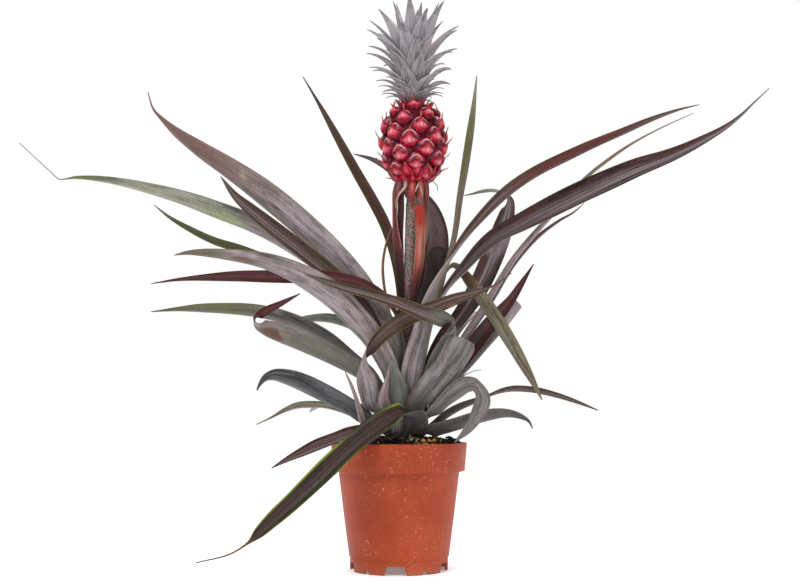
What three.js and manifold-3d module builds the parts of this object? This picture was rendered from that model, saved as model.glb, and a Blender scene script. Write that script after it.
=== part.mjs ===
// Potted pineapple plant in fruit: a rosette of channelled leaves round a short stem, a stalk that
// carries one young red fruit under its grey crown, and a terracotta coloured plastic pot of soil.
// Millimetres, +Z up, -Y towards the front. The origin is the middle of the pot's foot.
import * as THREE from "three";
import { mergeVertices } from "three/addons/utils/BufferGeometryUtils.js";
import Module from "manifold-3d";

const wasm = await Module();
wasm.setup();

// Driving dimensions
const POT_HEIGHT = 112;
const POT_RIM_RADIUS = 61.3;
const POT_RIM_DEPTH = 25;
const POT_BODY_TOP_RADIUS = 54.4;
const POT_FOOT_RADIUS = 43.5;
const POT_FOOT_HEIGHT = 12;
const POT_WALL = 1.6;
const SOIL_EDGE_HEIGHT = 108.5;
const SOIL_MIDDLE_HEIGHT = 117;
const GAP = 0.3;

const STEM_X = 6;
const STEM_PROFILE = [
  [15.5, 96],
  [15.5, 117.5],
  [18.8, 121],
  [19.5, 132],
  [17.5, 148],
  [13.5, 163],
  [9, 176],
  [6.2, 188],
];
const STALK_RADIUS = 5.2;
const FRUIT_X = 13.3;
const FRUIT_Y = 1;
const FRUIT_BOTTOM = 354;
const FRUIT_TOP = 425.5;
const FRUIT_CORE = [
  [9, 354],
  [17, 357.5],
  [22, 364],
  [25.5, 374],
  [26.5, 386],
  [26.5, 398],
  [24.5, 408],
  [20, 416],
  [14.5, 422],
  [9.5, 425.5],
];
const EYE_COUNT = 43;
const EYE_START_ANGLE = 170;
const EYE_START_HEIGHT = 356.8;
const EYE_RISE = 1.57;
const CROWN_X = 13;
const CROWN_LEAVES = 58;
const CROWN_START_ANGLE = 160;
const CROWN_BASE = 427.5;
const CROWN_RISE = 43.5;
// How a crown leaf's length, lean at its root, curl and width go with its place, from 0 for the lowest
// to 1 for the highest
const CROWN_LENGTHS = [
  [24, 0],
  [31, 0.2],
  [40, 0.4],
  [50, 0.6],
  [61, 0.8],
  [58, 0.9],
  [50, 1],
];
const CROWN_LEANS = [
  [50, 0],
  [42, 0.2],
  [34, 0.4],
  [30, 0.6],
  [28, 0.8],
  [14, 0.9],
  [4, 1],
];
const CROWN_CURLS = [
  [75, 0],
  [70, 0.2],
  [62, 0.4],
  [55, 0.6],
  [30, 0.8],
  [14, 0.9],
  [6, 1],
];
const CROWN_WIDTHS = [
  [9, 0],
  [12, 0.3],
  [13, 0.6],
  [12, 0.8],
  [9, 1],
];
const CROWN_CORE = [
  [8.5, 425.8],
  [11, 431],
  [12, 445],
  [9, 462],
  [4, 480],
];
const GOLDEN_ANGLE = THREE.MathUtils.degToRad(137.508);

const BLADE_THICKNESS = 1.2;
const BLADE_EDGE = 0.64;
const LEAF_FOLD = 34;
const EXTRA_STEPS = 2;

// The leaves are placed as they are seen from the front, a little above the pot: a point is given by
// how far across and up it appears on the upright plane through the stem, and how far behind that
// plane it lies on the same line of sight.
const VIEW_DISTANCE = 1011.5;
const VIEW_HEIGHT = 140;
const EYE = new THREE.Vector3(0, -VIEW_DISTANCE, VIEW_HEIGHT);

function standing(x, y, z) {
  return new THREE.Vector3(x, y, z);
}

function seen(across, up, behind) {
  const point = new THREE.Vector3(across, 0, up).sub(EYE);
  return point.multiplyScalar((VIEW_DISTANCE + behind) / VIEW_DISTANCE).add(EYE);
}

// Colours of the materials
const LEAF_DARK = 0x4a3b3c;
const LEAF_GREY = 0x857d80;
const LEAF_OLIVE = 0x77735a;
const BRACT_RED = 0xa8452f;

// Each leaf: its name, colour, root on the stem [direction in degrees, height, width], and the rows
// of its midline [across, up, behind, blade width, turn, fold], where the fold is left out if it is the
// usual one. A turn of 0 shows the upper face, 90 turns it to the right-hand side of the way the leaf
// runs, and 180 shows the underside.
const LEAVES = [
  // Front
  ["leaf_front_wide", LEAF_GREY, [-50, 137, 16], [
    [18.5, 147, -26, 22, -160], [25, 156, -32, 24.5, -162], [34, 167, -36.5, 25, -166],
    [43.5, 178, -43, 24.5, -168], [51.5, 190.5, -50, 25.5, -170], [56.5, 200.5, -55, 26, -172],
    [58.2, 205.5, -53, 22, -172]]],
  ["leaf_front_middle", LEAF_GREY, [-99, 138, 15], [
    [1.5, 150, -22.5, 17, 178], [0.5, 160, -25, 15.5, 176], [-1.6, 170, -28, 11, 172],
    [-4.6, 179, -30.5, 6, 170], [-8, 187.4, -32.5, 1, 168]]],
  ["leaf_front_narrow", LEAF_GREY, [-124, 136, 9], [
    [-13, 146, -25, 10.5, 172], [-14, 155, -29, 8.5, 170], [-11.5, 166, -33, 4.5, 168],
    [-9.5, 175, -35.5, 2.4, 168], [-8.5, 183, -37, 0.9, 168]]],
  ["leaf_crossing_right", LEAF_DARK, [-153, 137, 11], [
    [-25, 146, -15.5, 16, 152], [-27.6, 156, -20, 19.5, 156, 30], [-29.6, 167, -25.5, 20, 154, 34],
    [-32, 178, -30.5, 15.5, 132, 56], [-31, 187, -34, 12.5, 96, 70], [-27, 195.5, -37.5, 12.5, 52, 56],
    [-19, 205.5, -40, 13, 24],
    [-5, 217.5, -41.5, 13.5, 8], [14, 227.5, -39, 13.5, 0], [34, 235, -34.5, 12.5, -6],
    [52, 242, -31, 10.5, -8], [70, 247.8, -28.5, 6.5, -8], [82, 252.2, -27.5, 2.2, -8],
    [92, 257.5, -27, 1.4, -8], [103, 266, -26.5, 0.9, -8]]],
  ["leaf_crossing_left", LEAF_DARK, [-35, 152, 10], [
    [27.6, 169, -18.2, 13.2, -150], [35, 189, -33, 14, -140], [43.5, 202, -42, 15, -134],
    [48.2, 212, -49, 15.5, -122], [47, 220.5, -55, 15, -60], [38, 224.5, -58, 14.5, -6],
    [24, 228.5, -58, 13.5, 18], [5, 236, -55.5, 12, 28], [-22, 245, -52.5, 9.6, 30],
    [-50, 252.6, -50.5, 8.6, 32], [-72, 259.6, -49, 5, 34], [-85, 264.5, -48.5, 0.9, 34]]],
  ["leaf_front_curl_right", LEAF_GREY, [-28, 133, 11], [
    [30.5, 138, -22, 13, -138], [40, 147.5, -29, 15, -142], [50, 156.2, -36, 18, -146],
    [59.5, 162.8, -42, 17.5, -148], [66.5, 164, -47, 13.5, -151], [71.5, 160.5, -51.5, 11, -156],
    [74.8, 154.5, -55.5, 13, -160], [75.2, 148.5, -58.5, 14.4, -162], [72.9, 141.5, -60.5, 13.4, -162],
    [68, 132.4, -61.5, 11, -160], [60.8, 122.4, -62, 7, -160], [50.2, 112.4, -62, 0.9, -160]]],
  ["leaf_front_dry_tip", LEAF_OLIVE, [-30, 144, 6], [
    [37.5, 156, -20, 7, -110], [49, 165.5, -23, 5, -100], [61.5, 173.5, -23, 2, -90],
    [67, 176, -23, 1.2, -90], [74.5, 177.4, -23, 0.9, -90]]],
  // Left side
  ["leaf_left_outer_small", LEAF_GREY, [-160, 123, 7], [
    [-27, 124, -9.5, 7.5, 145], [-33, 131, -16, 7.4, 148], [-35.6, 139.5, -20, 6.2, 150],
    [-39.3, 152.5, -24, 3.8, 152], [-43.8, 164.6, -27, 2.8, 152], [-49, 175.5, -29, 0.9, 152]]],
  ["leaf_left_long", LEAF_GREY, [-158, 171, 8.5], [
    [-0.5, 192, -10.5, 13.5, 168], [-6.5, 207, -11.5, 16, 162], [-18.5, 229, -12, 20, 155],
    [-39, 259, -11, 24, 150], [-64, 286.5, -9, 26, 148], [-95, 315.5, -6, 27.5, 148],
    [-126, 340.5, -2, 27, 148], [-157, 363, 2, 22.5, 147], [-187, 382.5, 7, 17, 146],
    [-208, 398, 11, 11, 140], [-222, 411.5, 14, 5, 134], [-229.5, 420.5, 16, 2.6, 130],
    [-234.5, 436, 18, 0.9, 130]]],
  ["leaf_left_channelled", LEAF_DARK, [-134, 160, 8], [
    [-6, 184, -16.5, 12, 90], [-19, 213, -21, 14, 60], [-35, 237, -22, 16, 40],
    [-60, 263, -19.5, 17, 32], [-90, 287, -18.5, 17.5, 36], [-118, 309, -19, 17.5, 40],
    [-139, 326, -18, 14, 42], [-152, 338, -17, 9, 44], [-165, 356, -15.5, 0.9, 44]]],
  ["leaf_left_far", LEAF_GREY, [172, 157, 10], [
    [-13, 196, 2, 13, 100], [-34, 231, 8, 18, 112], [-62, 262, 10, 21, 122],
    [-97, 289.5, 11, 23, 130], [-133, 309.8, 12, 23.5, 134], [-175, 326.2, 14, 22, 134],
    [-215, 339.6, 16, 17.5, 132], [-250, 348.6, 18, 12.5, 130], [-280, 353.6, 20, 8.2, 128],
    [-299, 354.8, 21, 5, 124], [-308, 353.8, 21.6, 2.2, 120], [-314.5, 353.4, 22, 1.3, 118],
    [-324, 361.5, 22.4, 1.1, 118], [-352.5, 387.5, 24, 0.8, 118]]],
  ["leaf_left_green", LEAF_OLIVE, [134, 164, 9], [
    [-25, 212, 20, 10, 70], [-60, 247, 34, 12, 64], [-100, 269.5, 50, 12.5, 56],
    [-145, 287.2, 66, 12, 50], [-170, 295.4, 75, 10.4, 46], [-195, 307.6, 84, 7.4, 44],
    [-212, 317.8, 90, 4, 44], [-226, 329, 94, 0.8, 44]]],
  ["leaf_left_wide", LEAF_GREY, [-140, 151, 12], [
    [-8.5, 176, -21, 17, 160], [-16.5, 194, -28, 20, 158], [-26, 209, -32.5, 22, 157],
    [-37.5, 221.8, -36, 24, 155], [-56, 240.8, -38.5, 25.5, 152], [-77, 256, -39.5, 25, 148],
    [-100, 267.8, -39, 22, 144], [-125, 276.5, -37.5, 19, 138], [-152, 281.6, -35.5, 15.5, 132],
    [-177, 284, -33.5, 11.5, 128], [-195, 284.2, -32, 6.2, 124], [-206.5, 282.5, -31, 0.9, 122]]],
  ["leaf_left_maroon", LEAF_DARK, [-105, 174.5, 5.6], [
    [2.2, 203, -22.6, 9.5, 118], [-2, 226, -29.5, 10.5, 80], [-14, 243.5, -33, 11.5, 56],
    [-35, 256, -33.5, 12, 40], [-62, 261.5, -33, 13, 30], [-95, 262, -23.5, 15, 40],
    [-128, 262.2, -8, 15.5, 46], [-155, 262.2, 2, 13.5, 48], [-180, 261.5, 9, 9, 50],
    [-202, 259.8, 15, 4.6, 52], [-227, 256.2, 20, 0.8, 54]]],
  ["leaf_left_pale_low", LEAF_GREY, [154, 147, 8.5], [
    [-22, 170, 4, 12, 126], [-47, 191.5, 5, 14.5, 132], [-66, 206, 3, 16, 136],
    [-87, 217.8, -2, 16, 138], [-109, 226, -6, 15.5, 140], [-134, 230.8, -8, 15, 140],
    [-160, 232.8, -7, 13, 138], [-182, 233.3, -5, 10.5, 136], [-203, 232.4, -3, 5.4, 134],
    [-226.6, 230.3, -1, 0.8, 134]]],
  ["leaf_left_behind", LEAF_GREY, [138, 151, 9], [
    [-18, 192, 26, 10, 110], [-38, 214, 33, 11, 130], [-60, 223.5, 38, 11.5, 140],
    [-80, 224, 42, 8.5, 140], [-97, 222, 45, 4, 140], [-110, 220.5, 47, 0.9, 140]]],
  ["leaf_left_folded", LEAF_GREY, [-180, 143, 10], [
    [-19.6, 162, -11.6, 13, 150], [-34, 175, -14.5, 16.5, 150], [-50, 184.5, -17, 18, 152],
    [-70, 195, -20, 19.5, 154], [-90, 204, -23, 20.5, 154], [-108, 210.5, -26, 19.5, 152],
    [-120, 214.5, -28.5, 17, 146], [-128.5, 218.5, -31.5, 14, 128], [-131, 224, -35, 10.5, 70],
    [-124, 230, -37.5, 8.5, 24], [-110, 237, -38.5, 5.6, 12], [-90.5, 247, -39, 0.8, 10]]],
  ["leaf_left_hooked", LEAF_DARK, [-180, 127, 10], [
    [-28, 132, -4, 15, 140], [-42, 141.5, -5.5, 18.5, 140], [-56, 149.5, -7, 20, 140],
    [-72, 157.5, -8.5, 21, 140], [-88, 165, -10, 20.5, 140], [-101, 169.8, -11.5, 18, 140],
    [-113, 172.2, -12.5, 13.5, 140], [-121, 170, -13, 8, 140], [-126, 164.5, -13.2, 4, 140],
    [-129, 158.6, -13.4, 0.9, 140]]],
  ["leaf_left_small_olive", LEAF_OLIVE, [160, 121, 8], [
    [-28, 131, 16, 9, 130], [-50, 140.5, 20, 9.5, 130], [-68, 145, 23, 9, 130],
    [-82, 145.6, 25, 9.4, 132], [-93, 144.6, 27, 8.6, 132], [-104, 140.4, 29, 5.8, 132],
    [-116, 134, 31, 2.4, 132], [-129, 128, 33, 0.9, 132]]],
  ["leaf_low_left_dark", LEAF_DARK, [-140, 121, 9], [
    [-24, 124.5, -19, 13, 76], [-43, 121.5, -24, 15.5, 62], [-58, 115.2, -27, 16.5, 56],
    [-74, 109, -30, 16, 52], [-88, 102.4, -33, 12, 50], [-101, 96.2, -35, 7, 50],
    [-114.8, 89, -37, 0.9, 50]]],
  // Upright leaves beside and behind the stalk
  ["leaf_upright_left", LEAF_DARK, [122, 171, 9], [
    [1.5, 215, 20, 10, 40], [1.5, 247, 23, 10.5, 34], [-3.5, 280, 28, 11, 30],
    [-12.5, 309, 34, 11.5, 28], [-25, 334, 41, 11.5, 28], [-41, 362.5, 50, 10.5, 28],
    [-56, 390, 59, 8.6, 28], [-69, 414.5, 68, 5.6, 28], [-78, 430.5, 74, 3, 28],
    [-90, 451, 82, 0.8, 28]]],
  ["leaf_upright_thin_left", LEAF_OLIVE, [-176, 176, 5], [
    [-4, 207, 0, 5, 70], [-9.5, 232, 0, 4.6, 64], [-13.8, 253, 0.5, 4.4, 60],
    [-15.2, 273, 2, 4.2, 60], [-12.5, 291, 4, 3.6, 60], [-9, 302, 6, 2.2, 60], [-6.5, 309, 8, 0.8, 60]]],
  ["leaf_behind_stalk", LEAF_DARK, [92, 159, 13], [
    [16, 212, 40, 16, 10], [27, 250, 58, 22, 8], [33, 280, 72, 25, 4], [33.5, 304, 82, 24.5, -4],
    [27, 325, 90, 21, -14], [12, 344, 98, 15, -24], [-6, 361, 105, 9, -30],
    [-24, 372, 112, 5.4, -34], [-42, 377.5, 118, 0.9, -36]]],
  ["leaf_behind_stalk_short", LEAF_DARK, [72, 166, 9], [
    [17, 210, 26, 13, 6], [27, 242, 35, 18, 6], [33, 262, 41, 20, 4], [34.5, 275, 46, 20.5, 2],
    [36, 282, 53, 19.5, 0, 24], [38, 281, 61, 15, 0, 20], [39.5, 272, 65, 5, 0, 20]]],
  ["leaf_upright_thin_right", LEAF_OLIVE, [40, 170, 6], [
    [27, 222, 20, 6, -40], [41, 264, 28, 6, -40], [51.2, 300, 36, 6.4, -36], [56.5, 336, 43, 7.4, -34],
    [62.3, 371, 51, 8.8, -32], [67.4, 404, 60, 8, -32], [70.4, 430, 67, 4.2, -32],
    [72.7, 452, 74, 0.9, -32]]],
  // Right side
  ["leaf_right_upper", LEAF_DARK, [-78, 154, 15], [
    [12, 172, -20, 21, -174], [15, 190, -23, 19.5, -170], [20, 208, -24.5, 17.5, -162],
    [27, 236, -24.5, 15, -140],
    [36.5, 261, -23, 15, -105], [51.5, 286, -20, 16, -80], [70.5, 311, -16, 17, -64],
    [97, 338.5, -11, 17.5, -56], [128, 360.5, -6, 17, -54], [165, 379, -1, 15, -54],
    [204, 396.5, 5, 11.5, -54], [236, 410.4, 9, 7.4, -54], [262, 419.6, 12, 3.4, -54],
    [280, 424.2, 14, 0.8, -54]]],
  ["leaf_right_long", LEAF_DARK, [-28, 163, 11], [
    [23, 195, -4, 14, -120], [32, 227, -4, 16, -100], [42.5, 249.5, -5, 18.5, -80],
    [59, 269, -5, 21, -66], [84, 295, -2, 23.5, -56], [116, 313.5, 3, 26, -48],
    [150, 331, 9, 27.5, -44], [185, 348, 16, 27, -42], [219, 363, 22, 23.5, -42],
    [251, 375.2, 28, 18, -44], [281, 389.5, 33, 12.5, -48], [303, 402, 36, 8, -52],
    [318, 413.5, 38, 4.4, -54], [331, 426, 39.5, 2.2, -54], [345.8, 439.8, 41, 0.8, -54]]],
  ["leaf_right_thin", LEAF_GREY, [6, 151, 8], [
    [44, 184, 6, 8, -110], [62, 211, 12, 9.5, -118], [76, 231.5, 17, 10, -122],
    [93, 259, 25, 10, -124], [108, 281.5, 33, 9.4, -124], [127, 304.5, 43, 8.8, -124],
    [150, 329, 55, 7.6, -124], [173, 354.5, 67, 6.4, -122], [194, 371.3, 77, 6.4, -118],
    [218, 388, 88, 4.6, -114], [246, 403, 100, 2.8, -110], [274, 416, 112, 0.8, -110]]],
  ["leaf_right_thin_lower", LEAF_DARK, [20, 154, 7], [
    [41, 178, 20, 7, -110], [64, 209, 30, 8, -116], [85.5, 241, 39, 8.6, -118], [105, 273, 47, 8.6, -118],
    [127, 298.6, 55, 8, -116], [147.5, 314.2, 62, 6, -112], [161, 322.2, 67, 3.8, -106],
    [171, 331, 71, 0.8, -100]]],
  ["leaf_right_bent_back", LEAF_DARK, [-6, 160, 11], [
    [29, 186, -1, 15, -60], [41, 206, 2, 18, -48], [57, 226, 11, 20, -40], [74, 253, 24, 23, -34],
    [86, 279, 36, 24.5, -32], [95, 304, 48, 23.5, -34], [100, 322, 57, 19, -40],
    [101.5, 333, 66, 14, -58], [97.5, 339.5, 73, 9, -90], [88, 343.2, 79, 6.4, -120],
    [76, 342.2, 84, 4.8, -130], [68, 340, 87, 3, -130], [60, 338.2, 90, 0.9, -130]]],
  ["leaf_right_hanging", LEAF_OLIVE, [22, 173, 8], [
    [22, 214, 12, 10, -50], [33, 245, 14, 12, -60], [42, 266, 15, 12.5, -80],
    [49.5, 272.5, 14, 12.5, -105], [58, 265.5, 8, 13.5, -128], [68, 252.5, 1, 15, -138],
    [84.5, 229.2, -10, 15.5, -142], [100, 204.8, -19, 14.5, -142], [112, 183.3, -26, 11.5, -142],
    [121.5, 166.2, -32, 6.8, -142], [129.6, 150.1, -36, 0.9, -142]]],
  ["leaf_right_dark", LEAF_DARK, [-14, 139, 12], [
    [38, 160, -6, 17, -62], [56, 182, -5, 20, -52], [70, 200.5, -3, 20.5, -44],
    [83, 217.5, -0.5, 18.5, -40], [94.5, 231, 1.5, 15, -40], [103.5, 242.2, 3.5, 11, -42],
    [111.5, 254.5, 5.5, 8.2, -46], [118, 265, 7.5, 4.4, -48], [123.7, 274.5, 9.5, 0.8, -48]]],
  ["leaf_right_torn", LEAF_GREY, [12, 137, 9], [
    [43, 160, 9, 12, -120], [62, 182, 11, 14, -132], [78, 201, 12.5, 14.5, -140],
    [92, 217.5, 14, 14.5, -146], [101, 228.5, 15, 13.5, -150], [110, 237.5, 16, 9, -152]]],
  ["leaf_right_arched", LEAF_DARK, [-20, 126, 8], [
    [33, 128.5, -11, 9, -136], [42.5, 136.5, -12, 9.6, -136], [54, 143, -12, 9.6, -132],
    [68, 148.4, -10, 9.6, -118], [83, 154.6, -7, 9.4, -84], [101, 159.6, -2, 9, -56],
    [120.5, 159.2, 3, 8.4, -50], [141, 154.6, 8, 7.4, -50], [162, 147.8, 13, 4.8, -50],
    [180.2, 140.8, 17, 0.9, -50]]],
  ["leaf_right_low", LEAF_DARK, [-46, 121, 12], [
    [28, 121.5, -23, 14.5, -138], [38, 124, -25, 15, -138], [52, 128, -26, 15, -138],
    [67, 132.6, -27, 15, -137], [82, 136, -27.5, 14, -136], [96, 137.5, -27.5, 11, -134],
    [108, 135.6, -27, 7.6, -132], [117, 131, -26.5, 3.6, -130], [120.7, 124.4, -26, 0.9, -130]]],
];

// The broad leaf that rises in front of the stem and bends over towards the viewer. A turn of 0 has its
// upper face up and to the back.
const OVERHANGING_LEAF = ["leaf_front_low_left", LEAF_DARK, [-76, 121, 15], [
  [12.6, 129, -26, 19, -8, 48], [13.5, 136.5, -31, 23, -26, 60], [4.5, 140.5, -39, 22, -62, 56],
  [-10, 133.5, -46, 20.5, -95, 40], [-39, 112.3, -68, 18.5, -102], [-64, 89, -85, 18.5, -106],
  [-95.5, 59, -107, 15.5, -104], [-112, 44, -119, 13.5, -102], [-125, 31.5, -129, 9.5, -98],
  [-134.5, 23, -137, 2.6, -95], [-151, 13, -149, 1.3, -97], [-181, 5.5, -166, 0.9, -99]]];

// Leaves that lean away to the back, where the front view shows little of them. Their rows are real
// places [x, y, z, blade width, turn], and a turn of 0 has the upper face up.
const BACK_LEAVES = [
  ["leaf_back_arch", LEAF_GREY, [96, 150, 13], [
    [10, 48, 186, 17, 0], [13, 80, 205, 19, 0], [15.5, 112, 214, 18, 0], [18, 142, 211, 13, 0],
    [20, 168, 197, 0.9, 0]]],
  ["leaf_back_low_right", LEAF_DARK, [56, 127, 13], [
    [24, 48, 143, 17, 0], [30, 84, 155, 19, 0], [35, 124, 158, 15, 0], [38, 164, 149, 0.9, 0]]],
  ["leaf_back_low_left", LEAF_DARK, [124, 127, 13], [
    [-9, 48, 139, 17, 0], [-13, 86, 148, 18, 0], [-17, 126, 148, 14, 0], [-20, 166, 136, 0.9, 0]]],
  ["leaf_back_right", LEAF_GREY, [42, 145, 11], [
    [38, 42, 190, 15, 0], [56, 68, 219, 17, 0], [70, 98, 234, 15.5, 0], [83.5, 130, 241.5, 10, 0],
    [95, 160, 239.5, 0.9, 0]]],
  ["leaf_back_left", LEAF_GREY, [112, 157, 10], [
    [-12.5, 46, 217, 13, 0], [-30, 74, 236.5, 15, 0], [-48.5, 104, 248, 14.5, 0],
    [-66, 136, 252, 10, 0], [-79, 166, 252, 0.9, 0]]],
  ["leaf_back_low_far_left", LEAF_DARK, [148, 133, 11], [
    [-27, 40, 141, 14, 0], [-47, 66, 147, 16, 0], [-66, 96, 149, 15, 0], [-82, 124, 145, 10, 0],
    [-93, 148, 139, 0.9, 0]]],
  ["leaf_back_low_far_right", LEAF_GREY, [18, 121, 10], [
    [37, 16, 126, 12, 0], [48, 34, 130, 13, 0], [58, 54, 132, 11, 0], [67, 76, 131, 7, 0],
    [73, 98, 127, 0.9, 0]]],
];

// Long bracts that grow up the stalk, rooted on it [direction, height, width], with the same rows
const STALK_BRACTS = [
  ["bract_left", BRACT_RED, [-165, 226, 4], [
    [2, 243, -4, 5, 164], [1, 262, -5, 6.6, 162], [-0.2, 280, -5.5, 8.6, 160],
    [-2.4, 296, -6.5, 7.8, 160], [-3.6, 311, -7.5, 5.4, 158], [-4, 329, -8, 4.8, 158],
    [-3, 342, -9, 6.6, 158], [-1.4, 351, -9, 4.4, 156]]],
  ["bract_right", BRACT_RED, [-52, 226, 5], [
    [14.4, 242, -7.5, 7.6, -150], [16, 258, -9.5, 7.6, -152], [18.8, 277, -11, 9.4, -156],
    [20, 298, -12, 9, -162],
    [20.2, 313, -12.5, 10, -168], [18.6, 329.5, -13, 8.8, -176]]],
  ["bract_dark", LEAF_DARK, [-168, 279, 2.4], [
    [2.6, 291, -1.6, 3, 160], [1.2, 304, -3.2, 5.4, 160], [1.3, 314, -4.8, 6, 160],
    [1.6, 326, -6.5, 6.4, 160], [1.9, 337, -8, 5.6, 162], [3, 345, -9, 3.8, 162],
    [4.4, 350, -9.4, 0.9, 162]]],
  ["bract_far_right", BRACT_RED, [-6, 274, 3], [
    [21.5, 286, 1, 3, -110], [25.6, 300, 0.5, 3.2, -118], [26, 316, 0, 3.4, -126],
    [25, 328, -1.5, 4.4, -134], [25, 339, -3.5, 6, -142], [22.8, 347.5, -5.5, 4, -146]]],
];

// Short bracts under the fruit: [direction, length, lean]
const COLLAR_BRACTS = [
  [-170, 14, 46], [-128, 12, 34], [-92, 12, 30], [-62, 12, 34], [-42, 12, 38], [34, 14, 46],
  [64, 12, 38], [102, 12, 34], [146, 13, 42],
];

function degrees(angle) {
  return THREE.MathUtils.degToRad(angle);
}

// A repeatable number from 0 to 1 for the small irregularities of things that grew
function wobble(index, salt) {
  const value = Math.sin(index * 12.9898 + salt * 78.233) * 43758.5453;
  return value - Math.floor(value);
}

function interpolate(table, at) {
  const last = table.length - 1;
  if (at <= table[0][1]) return table[0][0];
  for (let i = 0; i < last; i += 1) {
    const [lowValue, low] = table[i];
    const [highValue, high] = table[i + 1];
    if (at <= high) return lowValue + ((highValue - lowValue) * (at - low)) / (high - low);
  }
  return table[last][0];
}

// Solids and meshes
function solidOf(geometry) {
  const bare = new THREE.BufferGeometry();
  bare.setAttribute("position", geometry.getAttribute("position"));
  if (geometry.index) bare.setIndex(geometry.index);
  const merged = mergeVertices(bare, 1e-4);
  return new wasm.Manifold(
    new wasm.Mesh({
      numProp: 3,
      vertProperties: new Float32Array(merged.getAttribute("position").array),
      triVerts: new Uint32Array(merged.index.array),
    }),
  );
}

function geometryOf(solid) {
  const mesh = solid.getMesh();
  const geometry = new THREE.BufferGeometry();
  geometry.setAttribute("position", new THREE.BufferAttribute(mesh.vertProperties, 3));
  geometry.setIndex(new THREE.BufferAttribute(mesh.triVerts, 1));
  geometry.computeVertexNormals();
  return geometry;
}

function joined(solids) {
  return solids.reduce((whole, piece) => whole.add(piece));
}

function surface(color, roughness) {
  return new THREE.MeshStandardMaterial({ color, roughness, metalness: 0 });
}

function named(name, geometry, color, roughness) {
  const mesh = new THREE.Mesh(geometry, surface(color, roughness));
  mesh.name = name;
  return mesh;
}

// Turned solids. The profile runs upwards on the outside and comes back on the inside or the axis.
function turned(profile, sides) {
  const points = profile.map(([radius, height]) => new THREE.Vector2(radius, height));
  const geometry = new THREE.LatheGeometry(points, sides);
  geometry.rotateX(Math.PI / 2);
  return geometry;
}

// Triangles across a ring of points, from its first and last ones inwards
function strip(size) {
  const triangles = [];
  let [low, high] = [0, size - 1];
  while (high - low > 1) {
    triangles.push([low, low + 1, high]);
    low += 1;
    if (high - low > 1) triangles.push([low, high - 1, high]);
    high -= 1;
  }
  return triangles;
}

// A closed skin over rings of points, with both ends covered. From the ring's point number back on,
// the faces are split the other way, so that a thin blade's two sides twist alike and never meet.
function skinned(rings, back = Infinity) {
  const size = rings[0].length;
  const position = rings.flat().flatMap((point) => point.toArray());
  const index = [];
  for (let ring = 0; ring + 1 < rings.length; ring += 1) {
    for (let k = 0; k < size; k += 1) {
      const a = ring * size + k;
      const b = ring * size + ((k + 1) % size);
      if (k < back) index.push(a, b, b + size, a, b + size, a + size);
      else index.push(a, b, a + size, b, b + size, a + size);
    }
  }
  const end = (rings.length - 1) * size;
  for (const [a, b, c] of strip(size)) {
    index.push(a, c, b);
    index.push(end + a, end + b, end + c);
  }
  const geometry = new THREE.BufferGeometry();
  geometry.setAttribute("position", new THREE.Float32BufferAttribute(position, 3));
  geometry.setIndex(index);
  return geometry;
}

// Leaf blades
// What a blade's turn is measured from: towards the viewer, straight up, or up and to the back
function towardsViewer(point) {
  return EYE.clone().sub(point).normalize();
}

function straightUp() {
  return new THREE.Vector3(0, 0, 1);
}

function upAndBack() {
  return new THREE.Vector3(0, 1, 1).normalize();
}

// That direction and the one to the right of the blade's run, both square to the run
function directions(point, run, reference) {
  const facing = reference(point);
  facing.addScaledVector(run, -facing.dot(run)).normalize();
  return { facing, right: run.clone().cross(facing) };
}

function turnTowards(point, run, reference, goal) {
  const { facing, right } = directions(point, run, reference);
  return Math.atan2(goal.dot(right), goal.dot(facing));
}

// The section of a blade: a shallow channel of two flat halves, its hollow on the upper face
function bladeRing(point, run, reference, turn, width, fold) {
  const { facing, right } = directions(point, run, reference);
  const upper = facing.multiplyScalar(Math.cos(turn)).addScaledVector(right, Math.sin(turn));
  const across = run.clone().cross(upper);
  const half = width / 2;
  const rise = half * Math.tan(fold / 2);
  const slim = Math.min(1, 0.6 + width / 15);
  const place = (side, lift) =>
    point.clone().addScaledVector(across, side * half).addScaledVector(upper, lift);
  const edge = BLADE_EDGE / 2;
  const middle = (BLADE_THICKNESS * slim) / 2;
  return [
    place(-1, rise / 2 + edge),
    place(0, -rise / 2 + middle),
    place(1, rise / 2 + edge),
    place(1, rise / 2 - edge),
    place(0, -rise / 2 - middle),
    place(-1, rise / 2 - edge),
  ];
}

function bladeGeometry(start, startWidth, inward, startFold, rows, place, reference) {
  const points = [start, ...rows.map(([a, b, c]) => place(a, b, c))];
  const midline = new THREE.CatmullRomCurve3(points, false, "centripetal");
  const startTurn = turnTowards(start, midline.getTangent(0), reference, inward);
  const firstTurn = degrees(rows[0][4]);
  const whole = Math.PI * 2;
  const nearTurn = startTurn + whole * Math.round((firstTurn - startTurn) / whole);
  const forms = [
    new THREE.Vector3(startWidth, nearTurn, startFold),
    ...rows.map(
      ([, , , width, turn, fold = LEAF_FOLD]) => new THREE.Vector3(width, degrees(turn), degrees(fold)),
    ),
  ];
  const form = new THREE.CatmullRomCurve3(forms, false, "catmullrom", 0.5);
  const steps = rows.length + EXTRA_STEPS;
  const rings = [];
  for (let i = 0; i <= steps; i += 1) {
    const t = i / steps;
    const { x: width, y: turn, z: bend } = form.getPoint(t);
    const [point, run] = [midline.getPoint(t), midline.getTangent(t)];
    rings.push(bladeRing(point, run, reference, turn, Math.max(width, 0.8), bend));
  }
  return skinned(rings, rings[0].length / 2);
}

function stemRadius(height) {
  return interpolate(STEM_PROFILE, height);
}

// How far a blade folds round what it clasps, and how far out its midline then starts
function claspFold(width, radius) {
  return Math.asin(Math.min(0.9, width / 2 / (radius + 1)));
}

function rootClearance(width, fold) {
  const slim = Math.min(1, 0.6 + width / 15);
  return GAP + (BLADE_THICKNESS * slim) / 2 - (width / 14) * Math.tan(fold / 2);
}

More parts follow.
